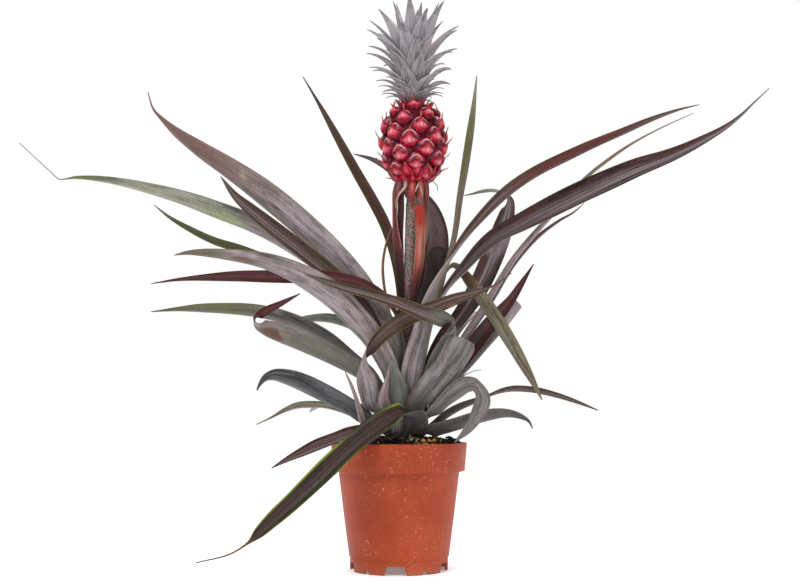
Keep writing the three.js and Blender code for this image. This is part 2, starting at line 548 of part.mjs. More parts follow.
function leafMesh([name, color, [direction, height, width], rows], place, reference) {
  const outward = new THREE.Vector3(Math.cos(degrees(direction)), Math.sin(degrees(direction)), 0);
  const clasp = claspFold(width, stemRadius(height));
  const radius = stemRadius(height) + rootClearance(width, clasp);
  const start = outward.clone().multiplyScalar(radius);
  start.add(new THREE.Vector3(STEM_X, 0, height));
  const geometry = bladeGeometry(start, width, outward.negate(), clasp, rows, place, reference);
  return named(name, geometry, color, 0.55);
}

// Stem and stalk
const STALK_PATH = [
  [STEM_X, 0, 176],
  [6.4, 0, 205],
  [8.6, 0, 245],
  [9.8, 0.5, 280],
  [10.8, 1, 312],
  [12, 1, 338],
  [FRUIT_X, FRUIT_Y, FRUIT_BOTTOM - GAP],
];

function stalkPoint(height) {
  for (let i = 0; i + 1 < STALK_PATH.length; i += 1) {
    const [x0, y0, z0] = STALK_PATH[i];
    const [x1, y1, z1] = STALK_PATH[i + 1];
    if (height <= z1) {
      const share = (height - z0) / (z1 - z0);
      return new THREE.Vector3(x0 + (x1 - x0) * share, y0 + (y1 - y0) * share, height);
    }
  }
  return new THREE.Vector3(FRUIT_X, FRUIT_Y, height);
}

function stemMesh() {
  const profile = [[0, STEM_PROFILE[0][1]], ...STEM_PROFILE, [0, STEM_PROFILE.at(-1)[1]]];
  const stump = turned(profile, 18);
  stump.translate(STEM_X, 0, 0);
  const sides = 10;
  const rings = STALK_PATH.map(([x, y, z]) => {
    const ring = [];
    for (let k = 0; k < sides; k += 1) {
      const angle = (k / sides) * Math.PI * 2;
      ring.push(
        new THREE.Vector3(x + STALK_RADIUS * Math.cos(angle), y + STALK_RADIUS * Math.sin(angle), z),
      );
    }
    return ring;
  });
  const solid = solidOf(stump).add(solidOf(skinned(rings)));
  return named("stem", geometryOf(solid), 0x7d7263, 0.8);
}

function stalkBractMesh([name, color, [direction, height, width], rows]) {
  const outward = new THREE.Vector3(Math.cos(degrees(direction)), Math.sin(degrees(direction)), 0);
  const clasp = claspFold(width, STALK_RADIUS);
  const start = stalkPoint(height).addScaledVector(outward, STALK_RADIUS + rootClearance(width, clasp));
  const inward = outward.negate();
  const geometry = bladeGeometry(start, width, inward, clasp, rows, seen, towardsViewer);
  return named(name, geometry, color, 0.6);
}

// Pot
const FOOT_WALL = 2.4;
const FLOOR_UNDERSIDE = 9;
const FLOOR_TOP = 11;
const NOTCH_COUNT = 5;
const NOTCH_DIRECTION = -94;
const NOTCH_WIDTH = 14.7;
const NOTCH_HEIGHT = 7.8;
const SMALL_NOTCH_WIDTH = 5;
const SMALL_NOTCH_HEIGHT = 2.8;
const DRAIN_RADIUS = 4;
const SHOULDER_HEIGHT = POT_HEIGHT - POT_RIM_DEPTH;
const POT_INSIDE = [
  [POT_FOOT_RADIUS - 0.4, FLOOR_TOP],
  [POT_BODY_TOP_RADIUS - POT_WALL, SHOULDER_HEIGHT - 0.4],
  [POT_RIM_RADIUS - 4.2, SHOULDER_HEIGHT + 1.4],
  [POT_RIM_RADIUS - 2.1, POT_HEIGHT],
];

function footNotch(direction, width, height) {
  const box = new THREE.BoxGeometry(14, width, height + 2);
  box.translate(POT_FOOT_RADIUS, 0, height / 2 - 1);
  box.rotateZ(degrees(direction));
  return solidOf(box);
}

function drainHole(direction) {
  const hole = new THREE.CylinderGeometry(DRAIN_RADIUS, DRAIN_RADIUS, 8, 10);
  hole.rotateX(Math.PI / 2);
  hole.translate(26, 0, FLOOR_TOP);
  hole.rotateZ(degrees(direction));
  return solidOf(hole);
}

function potMesh() {
  const outside = [
    [0, FLOOR_UNDERSIDE],
    [POT_FOOT_RADIUS - FOOT_WALL, FLOOR_UNDERSIDE],
    [POT_FOOT_RADIUS - FOOT_WALL, 0],
    [POT_FOOT_RADIUS - 0.5, 0],
    [POT_FOOT_RADIUS, 0.6],
    [POT_FOOT_RADIUS + 0.4, POT_FOOT_HEIGHT],
    [POT_FOOT_RADIUS + 1.1, POT_FOOT_HEIGHT + 0.6],
    [POT_BODY_TOP_RADIUS, SHOULDER_HEIGHT - 0.6],
    [POT_RIM_RADIUS - 2.2, SHOULDER_HEIGHT],
    [POT_RIM_RADIUS, POT_HEIGHT - 1],
    [POT_RIM_RADIUS - 0.6, POT_HEIGHT],
  ];
  const inside = [...POT_INSIDE].reverse();
  let solid = solidOf(turned([...outside, ...inside, [0, FLOOR_TOP]], 36));
  for (let i = 0; i < NOTCH_COUNT; i += 1) {
    const direction = NOTCH_DIRECTION + (360 * i) / NOTCH_COUNT;
    const between = direction + 180 / NOTCH_COUNT;
    solid = solid.subtract(footNotch(direction, NOTCH_WIDTH, NOTCH_HEIGHT));
    solid = solid.subtract(footNotch(between, SMALL_NOTCH_WIDTH, SMALL_NOTCH_HEIGHT));
    solid = solid.subtract(drainHole(between));
  }
  return named("pot", geometryOf(solid), 0xb25234, 0.6);
}

// Soil
function soilRise(x, y) {
  return 0.9 * Math.sin(x / 5.3 + 1) * Math.cos(y / 6.1) + 0.7 * Math.sin((x + y) / 3.7);
}

function soilMesh() {
  const wall = POT_INSIDE.map(([radius, height]) => [radius - GAP, height]);
  wall[0][1] += GAP;
  wall[3] = [POT_RIM_RADIUS - 2.1 - GAP - 0.3, SOIL_EDGE_HEIGHT];
  const heap = [
    [50, SOIL_EDGE_HEIGHT + 3],
    [40, SOIL_EDGE_HEIGHT + 5.5],
    [29, SOIL_MIDDLE_HEIGHT - 2],
    [14, SOIL_MIDDLE_HEIGHT - 1],
    [0, SOIL_MIDDLE_HEIGHT - 1],
  ];
  const geometry = turned([[0, wall[0][1]], ...wall, ...heap], 32);
  const position = geometry.getAttribute("position");
  for (let i = 0; i < position.count; i += 1) {
    const [x, y, z] = [position.getX(i), position.getY(i), position.getZ(i)];
    if (z > SOIL_EDGE_HEIGHT + 0.1) position.setZ(i, z + soilRise(x, y));
  }
  const depth = 30;
  const [stemFootRadius, stemFootHeight] = STEM_PROFILE[0];
  const hole = new THREE.CylinderGeometry(stemFootRadius + GAP, stemFootRadius + GAP, depth, 24);
  hole.rotateX(Math.PI / 2);
  hole.translate(STEM_X, 0, stemFootHeight - GAP + depth / 2);
  return named("soil", geometryOf(solidOf(geometry).subtract(solidOf(hole))), 0x1e1915, 0.95);
}

// Fruit
function aimed(geometry, angle, height, tilt) {
  const radius = interpolate(FRUIT_CORE, height);
  geometry.rotateY(-tilt);
  geometry.translate(radius, 0, 0);
  geometry.rotateZ(angle);
  geometry.translate(FRUIT_X, FRUIT_Y, height);
  return geometry;
}

// An eye: a low dome, and below it a pointed bract that ends in a spine
function eyeSolids(index) {
  const share = index / (EYE_COUNT - 1);
  const height = EYE_START_HEIGHT + EYE_RISE * index;
  const angle = degrees(EYE_START_ANGLE) + GOLDEN_ANGLE * index;
  const size = 1 - 0.42 * Math.abs(share - 0.42) ** 1.3 * 2;
  const tilt = (share - 0.4) * 1.7;
  const dome = new THREE.SphereGeometry(1, 6, 4);
  dome.scale(5.2, 10 * size, 9 * size);
  const bract = new THREE.ConeGeometry(5.6 * size, 16 * size, 4);
  bract.rotateX(Math.PI / 2);
  bract.scale(0.4, 1, 1);
  bract.translate(0, 0, 8 * size);
  bract.rotateY(0.62);
  bract.translate(0.6, 0, -8.4 * size);
  return [dome, bract].map((geometry) => solidOf(aimed(geometry, angle, height, tilt)));
}

function fruitMesh() {
  const core = turned([[0, FRUIT_BOTTOM], ...FRUIT_CORE, [0, FRUIT_TOP]], 16);
  core.translate(FRUIT_X, FRUIT_Y, 0);
  const eyes = Array.from({ length: EYE_COUNT }, (_, index) => eyeSolids(index)).flat();
  return named("fruit", geometryOf(joined([solidOf(core), ...eyes])), 0xb4183a, 0.4);
}

// Crown
function crownLeafSolid(index) {
  const share = index / (CROWN_LEAVES - 1);
  const angle = degrees(CROWN_START_ANGLE) - GOLDEN_ANGLE * index + 0.3 * (wobble(index, 3) - 0.5);
  const height = CROWN_BASE + CROWN_RISE * share ** 1.1;
  const length = interpolate(CROWN_LENGTHS, share) * (0.93 + 0.14 * wobble(index, 1));
  const width = interpolate(CROWN_WIDTHS, share);
  const curl = interpolate(CROWN_CURLS, share);
  const lean = interpolate(CROWN_LEANS, share) + 8 * (wobble(index, 2) - 0.5);
  const steps = 4;
  const thin = 0.5;
  const rings = [];
  let [out, up] = [interpolate(CROWN_CORE, height) - 2, height];
  for (let i = 0; i <= steps; i += 1) {
    const t = i / steps;
    const slope = degrees(lean + curl * t ** 1.6);
    const half = Math.max(0.35, (width / 2) * (1 - t ** 1.3));
    const [across, along] = [Math.cos(slope), Math.sin(slope)];
    const point = (side, lift) => new THREE.Vector3(out - lift * across, side, up + lift * along);
    rings.push([point(-half, thin), point(0, -thin), point(half, thin)]);
    out += (along * length) / steps;
    up += (across * length) / steps;
  }
  const geometry = skinned(rings);
  geometry.rotateZ(angle);
  geometry.translate(CROWN_X, FRUIT_Y, 0);
  return solidOf(geometry);
}

function crownMesh() {
  const profile = [[0, CROWN_CORE[0][1]], ...CROWN_CORE, [0, CROWN_CORE.at(-1)[1] + 3]];
  const core = turned(profile, 10);
  core.translate(CROWN_X, FRUIT_Y, 0);
  const leaves = Array.from({ length: CROWN_LEAVES }, (_, index) => crownLeafSolid(index));
  return named("crown", geometryOf(joined([solidOf(core), ...leaves])), 0x968f94, 0.7);
}

// Collar of short bracts on a ring round the top of the stalk
function collarMesh() {
  const inner = STALK_RADIUS + 2 * GAP;
  const ring = turned([[inner, 339], [inner + 1.4, 339.6], [inner + 2.4, 344], [inner, 345], [inner, 339]], 12);
  const solids = COLLAR_BRACTS.map(([direction, length, lean]) => {
    const bract = new THREE.ConeGeometry(3, length, 4);
    bract.rotateX(Math.PI / 2);
    bract.scale(0.4, 1, 1);
    bract.translate(0, 0, length / 2);
    bract.rotateY(degrees(lean));
    bract.translate(inner + 1.4, 0, 341.5);
    bract.rotateZ(degrees(direction));
    return solidOf(bract);
  });
  const solid = joined([solidOf(ring), ...solids]).translate(stalkPoint(342).setZ(0).toArray());
  return named("fruit_collar", geometryOf(solid), BRACT_RED, 0.6);
}

const parts = new THREE.Group();
parts.add(potMesh(), soilMesh(), stemMesh());
LEAVES.forEach((leaf) => parts.add(leafMesh(leaf, seen, towardsViewer)));
parts.add(leafMesh(OVERHANGING_LEAF, seen, upAndBack));
BACK_LEAVES.forEach((leaf) => parts.add(leafMesh(leaf, standing, straightUp)));
STALK_BRACTS.forEach((bract) => parts.add(stalkBractMesh(bract)));
parts.add(collarMesh(), fruitMesh(), crownMesh());

export default parts;
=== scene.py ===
"""The looks of the potted pineapple plant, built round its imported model. Tables are in millimetres."""
import math

import bpy
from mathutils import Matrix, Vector, noise


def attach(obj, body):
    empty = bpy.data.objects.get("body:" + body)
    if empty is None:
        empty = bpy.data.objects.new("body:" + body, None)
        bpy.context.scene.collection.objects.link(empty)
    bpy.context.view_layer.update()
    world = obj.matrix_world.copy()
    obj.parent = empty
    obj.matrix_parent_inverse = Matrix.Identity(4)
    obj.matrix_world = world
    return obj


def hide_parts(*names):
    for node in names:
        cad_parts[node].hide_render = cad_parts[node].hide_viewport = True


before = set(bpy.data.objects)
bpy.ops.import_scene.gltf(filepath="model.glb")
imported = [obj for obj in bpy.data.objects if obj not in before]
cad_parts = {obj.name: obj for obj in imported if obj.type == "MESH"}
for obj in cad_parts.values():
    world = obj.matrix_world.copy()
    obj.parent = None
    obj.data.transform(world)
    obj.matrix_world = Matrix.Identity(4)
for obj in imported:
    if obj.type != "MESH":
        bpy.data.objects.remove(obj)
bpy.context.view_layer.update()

# Driving dimensions, in millimetres
MM = 0.001
POT_HEIGHT = 112
POT_RIM_RADIUS = 61.3
POT_RIM_DEPTH = 25
POT_BODY_TOP_RADIUS = 54.4
POT_FOOT_RADIUS = 43.5
POT_FOOT_HEIGHT = 12
POT_SIDES = 160
# The notches in the pot's foot: turn from the first one in degrees, width, flare at each side, height
NOTCHES = [(0, 14.7, 3, 7.8), (36, 4, 2.8, 2.8)]
NOTCH_START = -94
NOTCH_STEP = 72
NOTCH_REACH = (36.5, 50.5)
NOTCH_BOTTOM = -2

# The soil: its top as (height, distance from the middle), and its side below that as (radius, height)
SOIL_RADIUS = 58.4
SOIL_HOLE = 12
SOIL_HEAP = [(116, 0), (116, 14), (115, 29), (114, 40), (111.5, 50), (108.5, SOIL_RADIUS)]
SOIL_WALL = [(57.0, 100), (52.4, 86), (43, 12)]
SOIL_RINGS = 60
SOIL_SIDES = 180
CRUMBS = 2600
CRUMB_RADIUS = 58
CRUMB_HOLE = 17
FIBRES = 60
SPROUTS = 4
# The heap of larger clumps: their directions and distances, the direction of its top, how many degrees it
# spreads to each side, and its height
CLUMPS = 150
CLUMP_DIRECTIONS = (-62, 12)
CLUMP_DISTANCES = (47, 56.5)
HEAP_DIRECTION = -20
HEAP_SPREAD = 40
HEAP_HEIGHT = 4.6
# The larger yellow flakes on the soil: across, away from the viewer, size
FLAKES = [
    (21, -40, 2), (27, -36, 2.6), (31, -31, 2.4), (34, -34, 2.2), (37, -27, 2.4), (17, -44, 1.8),
    (41, -22, 1.8), (-18, -40, 1.6), (-34, 22, 2.2), (12, 44, 2), (44, 12, 2),
]

# The stem as (radius, height), and the path of the stalk on it
STEM_X = 6
STEM_PROFILE = [
    (15.5, 96), (15.5, 117.5), (18.8, 121), (19.5, 132), (17.5, 148), (13.5, 163), (9, 176), (6.2, 188),
]
STALK_RADIUS = 5.2
STALK_PATH = [
    (6, 0, 176), (6.4, 0, 205), (8.6, 0, 245), (9.8, 0.5, 280), (10.8, 1, 312), (12, 1, 338),
    (13.3, 1, 353.7),
]
STALK_STEPS = 70
STALK_SIDES = 28
STUMP_SIDES = 40
# The sheaths that leaf bases wrap round the stem
SHEATH_LENGTH = 20
SHEATH_BOTTOM = 112
SHEATH_ABOVE_ROOT = 1.5
SHEATH_DEPTH = 0.5
SHEATH_BULGE = 0.5
SHEATH_MIDDLE = 0.35
SHEATH_SPREAD = 0.55
SHEATH_STEPS = 8

# The fruit: its core as (radius, height)
FRUIT_X = 13.3
FRUIT_Y = 1
FRUIT_BOTTOM = 354
FRUIT_TOP = 425.5
FRUIT_SIDES = 48
FRUIT_CORE = [
    (9, 354), (17, 357.5), (22, 364), (25.5, 374), (26.5, 386), (26.5, 398), (24.5, 408), (20, 416),
    (14.5, 422), (9.5, 425.5),
]
GOLDEN_ANGLE = math.radians(137.508)
EYE_COUNT = 43
EYES_UNDER_CROWN = 2
EYE_START_ANGLE = 170
EYE_START_HEIGHT = 356.8
EYE_RISE = 1.57
EYE_LARGEST = 0.42
EYE_LEVEL = 0.4
# An eye of the fruit: half its width and height, how far its middle is raised, how far its dome stands out
# and the groove round it goes in, where its ridge runs as a share of its reach, and the outline of the
# bract over it as (half its width, height)
EYE_HALF_WIDTH = 10.4
EYE_HALF_HEIGHT = 10
EYE_MIDDLE = 0.4
EYE_DOME = 6
EYE_GROOVE = 1.7
EYE_RIDGE = 0.42
EYE_RINGS = 15
EYE_SPOKES = 28
EYE_BRACT_OUTLINE = [
    (3.4, -9.8), (4.4, -8.2), (5.4, -6.2), (7.2, -4.6), (9.2, -3.6), (7.4, -2.7), (4.6, -1.6), (3.1, -0.2),
    (2.1, 1.4), (1.2, 3.4), (0.3, 5.2),
]
EYE_BRACT_HEIGHT = 15
EYE_BRACT_ROWS = 16
EYE_BRACT_COLUMNS = 14
SPINE_STEPS = 6

# The rings of small bracts above and below the eyes. A bract's width against its widest goes with its
# length, and an upper tier is (distance out, height, greyness)
SMALL_BRACT_WIDTHS = [(0.6, 0), (0.95, 0.25), (1, 0.45), (0.7, 0.65), (0.3, 0.82), (0.08, 1)]
SMALL_BRACT_STEPS = 10
SMALL_BRACT_SIDES = [k / 4 - 1 for k in range(9)]
LOWER_BRACTS = 14
UPPER_BRACTS = 27
UPPER_TIERS = [(17.5, 416.5, 0), (14.5, 419.5, 0.45), (11.5, 422.5, 0.9)]

# The short bracts under the fruit: (direction, length, lean)
COLLAR_X = 12.3
COLLAR_HEIGHT = 337
COLLAR_STEPS = 4
COLLAR_WIDTH = 5.4
COLLAR_TIP = 0.4
COLLAR_BRACTS = [
    (-170, 14, 46), (-128, 12, 34), (-92, 12, 30), (-62, 12, 34), (-42, 12, 38), (34, 14, 46), (64, 12, 38),
    (102, 12, 34), (146, 13, 42),
]

# The crown: how a leaf's length, lean at its root, curl and width go with its place, from 0 for the lowest
# to 1 for the highest, and how its width goes along it for a low leaf and for a high one
CROWN_X = 13
CROWN_LEAVES = 58
CROWN_BASE_LEAVES = 10
CROWN_START_ANGLE = 160
CROWN_BASE = 427.5
CROWN_RISE = 43.5
CROWN_LEAF_STEPS = 16
CROWN_CORE_SIDES = 20
CROWN_LENGTHS = [(24, 0), (31, 0.2), (40, 0.4), (50, 0.6), (61, 0.8), (58, 0.9), (50, 1)]
CROWN_LEANS = [(50, 0), (42, 0.2), (34, 0.4), (30, 0.6), (28, 0.8), (14, 0.9), (4, 1)]
CROWN_CURLS = [(75, 0), (70, 0.2), (62, 0.4), (55, 0.6), (30, 0.8), (14, 0.9), (6, 1)]
CROWN_WIDTHS = [(10, 0), (13, 0.3), (15, 0.6), (14, 0.8), (10, 1)]
CROWN_LOW_FORM = [(1, 0), (1.08, 0.15), (0.95, 0.3), (0.6, 0.45), (0.32, 0.6), (0.18, 0.78), (0.05, 1)]
CROWN_HIGH_FORM = [(1, 0), (1.1, 0.2), (1.1, 0.4), (0.95, 0.55), (0.66, 0.7), (0.3, 0.87), (0.03, 1)]
CROWN_CORE = [(8.5, 425.8), (11, 431), (12, 445), (9, 462), (4, 480)]

# Blades
BLADE_THICKNESS = 0.95
MARGIN_THICKNESS = 0.4
BLADE_GAP = 0.6
FULL_WIDTH = 15
LEAST_WIDTH = 0.5
LEAF_FOLD = math.radians(34)
STEPS_PER_ROW = 5
ACROSS_STEPS = 10
SIDES = [2 * k / ACROSS_STEPS - 1 for k in range(ACROSS_STEPS + 1)]
# The points round a blade's section as (side, face): over its upper face, and back below it
BLADE_LOOP = [(side, 1) for side in SIDES] + [(side, -1) for side in reversed(SIDES)]
UNPAINTED = (0.5, 0.5, 0.5, 0)

# The camera, and the point nearly the same that the leaves are placed from
VIEW_DISTANCE = 1011.5
VIEW_HEIGHT = 140
VIEW_ACROSS = 0.9
VIEW_PITCH = 6.175
LENS = 50
SENSOR = 36
VIEWER = Vector((0, -VIEW_DISTANCE, VIEW_HEIGHT))

# Each leaf: its name, its root on the stem (direction in degrees, height, width), and the rows of its
# midline (across, up, behind, blade width, turn, fold), as the front view shows it. The fold is left out
# if it is the usual one. A turn of 0 shows the upper face, 90 turns it to the right-hand side of the way
# the leaf runs, and 180 shows the underside.
LEAVES = [
    # Front
    ["leaf_front_wide", (-50, 137, 16), [
        (18.5, 147, -26, 22, -160), (25, 156, -32, 24.5, -162), (34, 167, -36.5, 25, -166),
        (43.5, 178, -43, 24.5, -168), (51.5, 190.5, -50, 25.5, -170), (56.5, 200.5, -55, 26, -172),
        (58.2, 205.5, -53, 22, -172)]],
    ["leaf_front_middle", (-99, 138, 15), [
        (1.5, 150, -22.5, 17, 178), (0.5, 160, -25, 15.5, 176), (-1.6, 170, -28, 11, 172),
        (-4.6, 179, -30.5, 6, 170), (-8, 187.4, -32.5, 1, 168)]],
    ["leaf_front_narrow", (-124, 136, 9), [
        (-13, 146, -25, 10.5, 172), (-14, 155, -29, 8.5, 170), (-11.5, 166, -33, 4.5, 168),
        (-9.5, 175, -35.5, 2.4, 168), (-8.5, 183, -37, 0.9, 168)]],
    ["leaf_crossing_right", (-153, 137, 11), [
        (-25, 146, -15.5, 16, 152), (-27.6, 156, -20, 19.5, 156, 30), (-29.6, 167, -25.5, 20, 154, 34),
        (-32, 178, -30.5, 15.5, 132, 56), (-31, 187, -34, 12.5, 96, 70), (-27, 195.5, -37.5, 12.5, 52, 56),
        (-19, 205.5, -40, 13, 24), (-5, 217.5, -41.5, 13.5, 8), (14, 227.5, -39, 13.5, 0),
        (34, 235, -34.5, 12.5, -6), (52, 242, -31, 10.5, -8), (70, 247.8, -28.5, 6.5, -8),
        (82, 252.2, -27.5, 2.2, -8), (92, 257.5, -27, 1.4, -8), (103, 266, -26.5, 0.9, -8)]],
    ["leaf_crossing_left", (-35, 152, 10), [
        (27.6, 169, -18.2, 13.2, -150), (35, 189, -33, 14, -140), (43.5, 202, -42, 15, -134),
        (48.2, 212, -49, 15.5, -122), (47, 220.5, -55, 15, -60), (38, 224.5, -58, 14.5, -6),
        (24, 228.5, -58, 13.5, 18), (5, 236, -55.5, 12, 28), (-22, 245, -52.5, 9.6, 30),
        (-50, 252.6, -50.5, 8.6, 32), (-72, 259.6, -49, 5, 34), (-85, 264.5, -48.5, 0.9, 34)]],
    ["leaf_front_curl_right", (-28, 133, 11), [
        (30.5, 138, -22, 13, -138), (40, 147.5, -29, 15, -142), (50, 156.2, -36, 18, -146),
        (59.5, 162.8, -42, 17.5, -148), (66.5, 164, -47, 13.5, -151), (71.5, 160.5, -51.5, 11, -156),
        (74.8, 154.5, -55.5, 13, -160), (75.2, 148.5, -58.5, 14.4, -162), (72.9, 141.5, -60.5, 13.4, -162),
        (68, 132.4, -61.5, 11, -160), (60.8, 122.4, -62, 7, -160), (50.2, 112.4, -62, 0.9, -160)]],
    ["leaf_front_dry_tip", (-30, 144, 6), [
        (37.5, 156, -20, 7, -110), (49, 165.5, -23, 5, -100), (61.5, 173.5, -23, 2, -90),
        (67, 176, -23, 1.2, -90), (74.5, 177.4, -23, 0.9, -90)]],
    # Left side
    ["leaf_left_outer_small", (-160, 123, 7), [
        (-27, 124, -9.5, 7.5, 145), (-33, 131, -16, 7.4, 148), (-35.6, 139.5, -20, 6.2, 150),
        (-39.3, 152.5, -24, 3.8, 152), (-43.8, 164.6, -27, 2.8, 152), (-49, 175.5, -29, 0.9, 152)]],
    ["leaf_left_long", (-158, 171, 8.5), [
        (-0.5, 192, -10.5, 13.5, 168), (-6.5, 207, -11.5, 16, 162), (-18.5, 229, -12, 20, 155),
        (-39, 259, -11, 24, 150), (-64, 286.5, -9, 26, 148), (-95, 315.5, -6, 27.5, 148),
        (-126, 340.5, -2, 27, 148), (-157, 363, 2, 22.5, 147), (-187, 382.5, 7, 17, 146),
        (-208, 398, 11, 11, 140), (-222, 411.5, 14, 5, 134), (-229.5, 420.5, 16, 2.6, 130),
        (-234.5, 436, 18, 0.9, 130)]],
    ["leaf_left_channelled", (-134, 160, 8), [
        (-6, 184, -16.5, 12, 90), (-19, 213, -21, 14, 60), (-35, 237, -22, 16, 40),
        (-60, 263, -19.5, 17, 32), (-90, 287, -18.5, 17.5, 36), (-118, 309, -19, 17.5, 40),
        (-139, 326, -18, 14, 42), (-152, 338, -17, 9, 44), (-165, 356, -15.5, 0.9, 44)]],
    ["leaf_left_far", (172, 157, 10), [
        (-13, 196, 2, 13, 100), (-34, 231, 8, 18, 112), (-62, 262, 10, 21, 122), (-97, 289.5, 11, 23, 130),
        (-133, 309.8, 12, 23.5, 134), (-175, 326.2, 14, 22, 134), (-215, 339.6, 16, 17.5, 132),
        (-250, 348.6, 18, 12.5, 130), (-280, 353.6, 20, 8.2, 128), (-299, 354.8, 21, 5, 124),
        (-308, 353.8, 21.6, 2.2, 120), (-314.5, 353.4, 22, 1.3, 118), (-324, 361.5, 22.4, 1.1, 118),
        (-352.5, 387.5, 24, 0.8, 118)]],
    ["leaf_left_green", (134, 164, 9), [
        (-25, 212, 20, 10, 70), (-60, 247, 34, 12, 64), (-100, 269.5, 50, 12.5, 56),
        (-145, 287.2, 66, 12, 50), (-170, 295.4, 75, 10.4, 46), (-195, 307.6, 84, 7.4, 44),
        (-212, 317.8, 90, 4, 44), (-226, 329, 94, 0.8, 44)]],
    ["leaf_left_wide", (-140, 151, 12), [
        (-8.5, 176, -21, 17, 160), (-16.5, 194, -28, 20, 158), (-26, 209, -32.5, 22, 157),
        (-37.5, 221.8, -36, 24, 155), (-56, 240.8, -38.5, 25.5, 152), (-77, 256, -39.5, 25, 148),
        (-100, 267.8, -39, 22, 144), (-125, 276.5, -37.5, 19, 138), (-152, 281.6, -35.5, 15.5, 132),
        (-177, 284, -33.5, 11.5, 128), (-195, 284.2, -32, 6.2, 124), (-206.5, 282.5, -31, 0.9, 122)]],
    ["leaf_left_maroon", (-105, 174.5, 5.6), [
        (2.2, 203, -22.6, 9.5, 118), (-2, 226, -29.5, 10.5, 80), (-14, 243.5, -33, 11.5, 56),
        (-35, 256, -33.5, 12, 40), (-62, 261.5, -33, 13, 30), (-95, 262, -23.5, 15, 40),
        (-128, 262.2, -8, 15.5, 46), (-155, 262.2, 2, 13.5, 48), (-180, 261.5, 9, 9, 50),
        (-202, 259.8, 15, 4.6, 52), (-227, 256.2, 20, 0.8, 54)]],
    ["leaf_left_pale_low", (154, 147, 8.5), [
        (-22, 170, 4, 12, 126), (-47, 191.5, 5, 14.5, 132), (-66, 206, 3, 16, 136),
        (-87, 217.8, -2, 16, 138), (-109, 226, -6, 15.5, 140), (-134, 230.8, -8, 15, 140),
        (-160, 232.8, -7, 13, 138), (-182, 233.3, -5, 10.5, 136), (-203, 232.4, -3, 5.4, 134),
        (-226.6, 230.3, -1, 0.8, 134)]],
    ["leaf_left_behind", (138, 151, 9), [
        (-18, 192, 26, 10, 110), (-38, 214, 33, 11, 130), (-60, 223.5, 38, 11.5, 140),
        (-80, 224, 42, 8.5, 140), (-97, 222, 45, 4, 140), (-110, 220.5, 47, 0.9, 140)]],
    ["leaf_left_folded", (-180, 143, 10), [
        (-19.6, 162, -11.6, 13, 150), (-34, 175, -14.5, 16.5, 150), (-50, 184.5, -17, 18, 152),
        (-70, 195, -20, 19.5, 154), (-90, 204, -23, 20.5, 154), (-108, 210.5, -26, 19.5, 152),
        (-120, 214.5, -28.5, 17, 146), (-128.5, 218.5, -31.5, 14, 128), (-131, 224, -35, 10.5, 70),
        (-124, 230, -37.5, 8.5, 24), (-110, 237, -38.5, 5.6, 12), (-90.5, 247, -39, 0.8, 10)]],
    ["leaf_left_hooked", (-180, 127, 10), [
        (-28, 132, -4, 15, 140), (-42, 141.5, -5.5, 18.5, 140), (-56, 149.5, -7, 20, 140),
        (-72, 157.5, -8.5, 21, 140), (-88, 165, -10, 20.5, 140), (-101, 169.8, -11.5, 18, 140),
        (-113, 172.2, -12.5, 13.5, 140), (-121, 170, -13, 8, 140), (-126, 164.5, -13.2, 4, 140),
        (-129, 158.6, -13.4, 0.9, 140)]],
    ["leaf_left_small_olive", (160, 121, 8), [
        (-28, 131, 16, 9, 130), (-50, 140.5, 20, 9.5, 130), (-68, 145, 23, 9, 130),
        (-82, 145.6, 25, 9.4, 132), (-93, 144.6, 27, 8.6, 132), (-104, 140.4, 29, 5.8, 132),
        (-116, 134, 31, 2.4, 132), (-129, 128, 33, 0.9, 132)]],
    ["leaf_low_left_dark", (-140, 121, 9), [
        (-24, 124.5, -19, 13, 76), (-43, 121.5, -24, 15.5, 62), (-58, 115.2, -27, 16.5, 56),
        (-74, 109, -30, 16, 52), (-88, 102.4, -33, 12, 50), (-101, 96.2, -35, 7, 50),
        (-114.8, 89, -37, 0.9, 50)]],
    # Upright leaves beside and behind the stalk
    ["leaf_upright_left", (122, 171, 9), [
        (1.5, 215, 20, 10, 40), (1.5, 247, 23, 10.5, 34), (-3.5, 280, 28, 11, 30),
        (-12.5, 309, 34, 11.5, 28), (-25, 334, 41, 11.5, 28), (-41, 362.5, 50, 10.5, 28),
        (-56, 390, 59, 8.6, 28), (-69, 414.5, 68, 5.6, 28), (-78, 430.5, 74, 3, 28),
        (-90, 451, 82, 0.8, 28)]],
    ["leaf_upright_thin_left", (-176, 176, 5), [
        (-4, 207, 0, 5, 70), (-9.5, 232, 0, 4.6, 64), (-13.8, 253, 0.5, 4.4, 60), (-15.2, 273, 2, 4.2, 60),
        (-12.5, 291, 4, 3.6, 60), (-9, 302, 6, 2.2, 60), (-6.5, 309, 8, 0.8, 60)]],
    ["leaf_behind_stalk", (92, 159, 13), [
        (16, 212, 40, 16, 10), (27, 250, 58, 22, 8), (33, 280, 72, 25, 4), (33.5, 304, 82, 24.5, -4),
        (27, 325, 90, 21, -14), (12, 344, 98, 15, -24), (-6, 361, 105, 9, -30), (-24, 372, 112, 5.4, -34),
        (-42, 377.5, 118, 0.9, -36)]],
    ["leaf_behind_stalk_short", (72, 166, 9), [
        (17, 210, 26, 13, 6), (27, 242, 35, 18, 6), (33, 262, 41, 20, 4), (34.5, 275, 46, 20.5, 2),
        (36, 282, 53, 19.5, 0, 24), (38, 281, 61, 15, 0, 20), (39.5, 272, 65, 5, 0, 20)]],
    ["leaf_upright_thin_right", (40, 170, 6), [
        (27, 222, 20, 6, -40), (41, 264, 28, 6, -40), (51.2, 300, 36, 6.4, -36), (56.5, 336, 43, 7.4, -34),
        (62.3, 371, 51, 8.8, -32), (67.4, 404, 60, 8, -32), (70.4, 430, 67, 4.2, -32),
        (72.7, 452, 74, 0.9, -32)]],
    # Right side
    ["leaf_right_upper", (-78, 154, 15), [
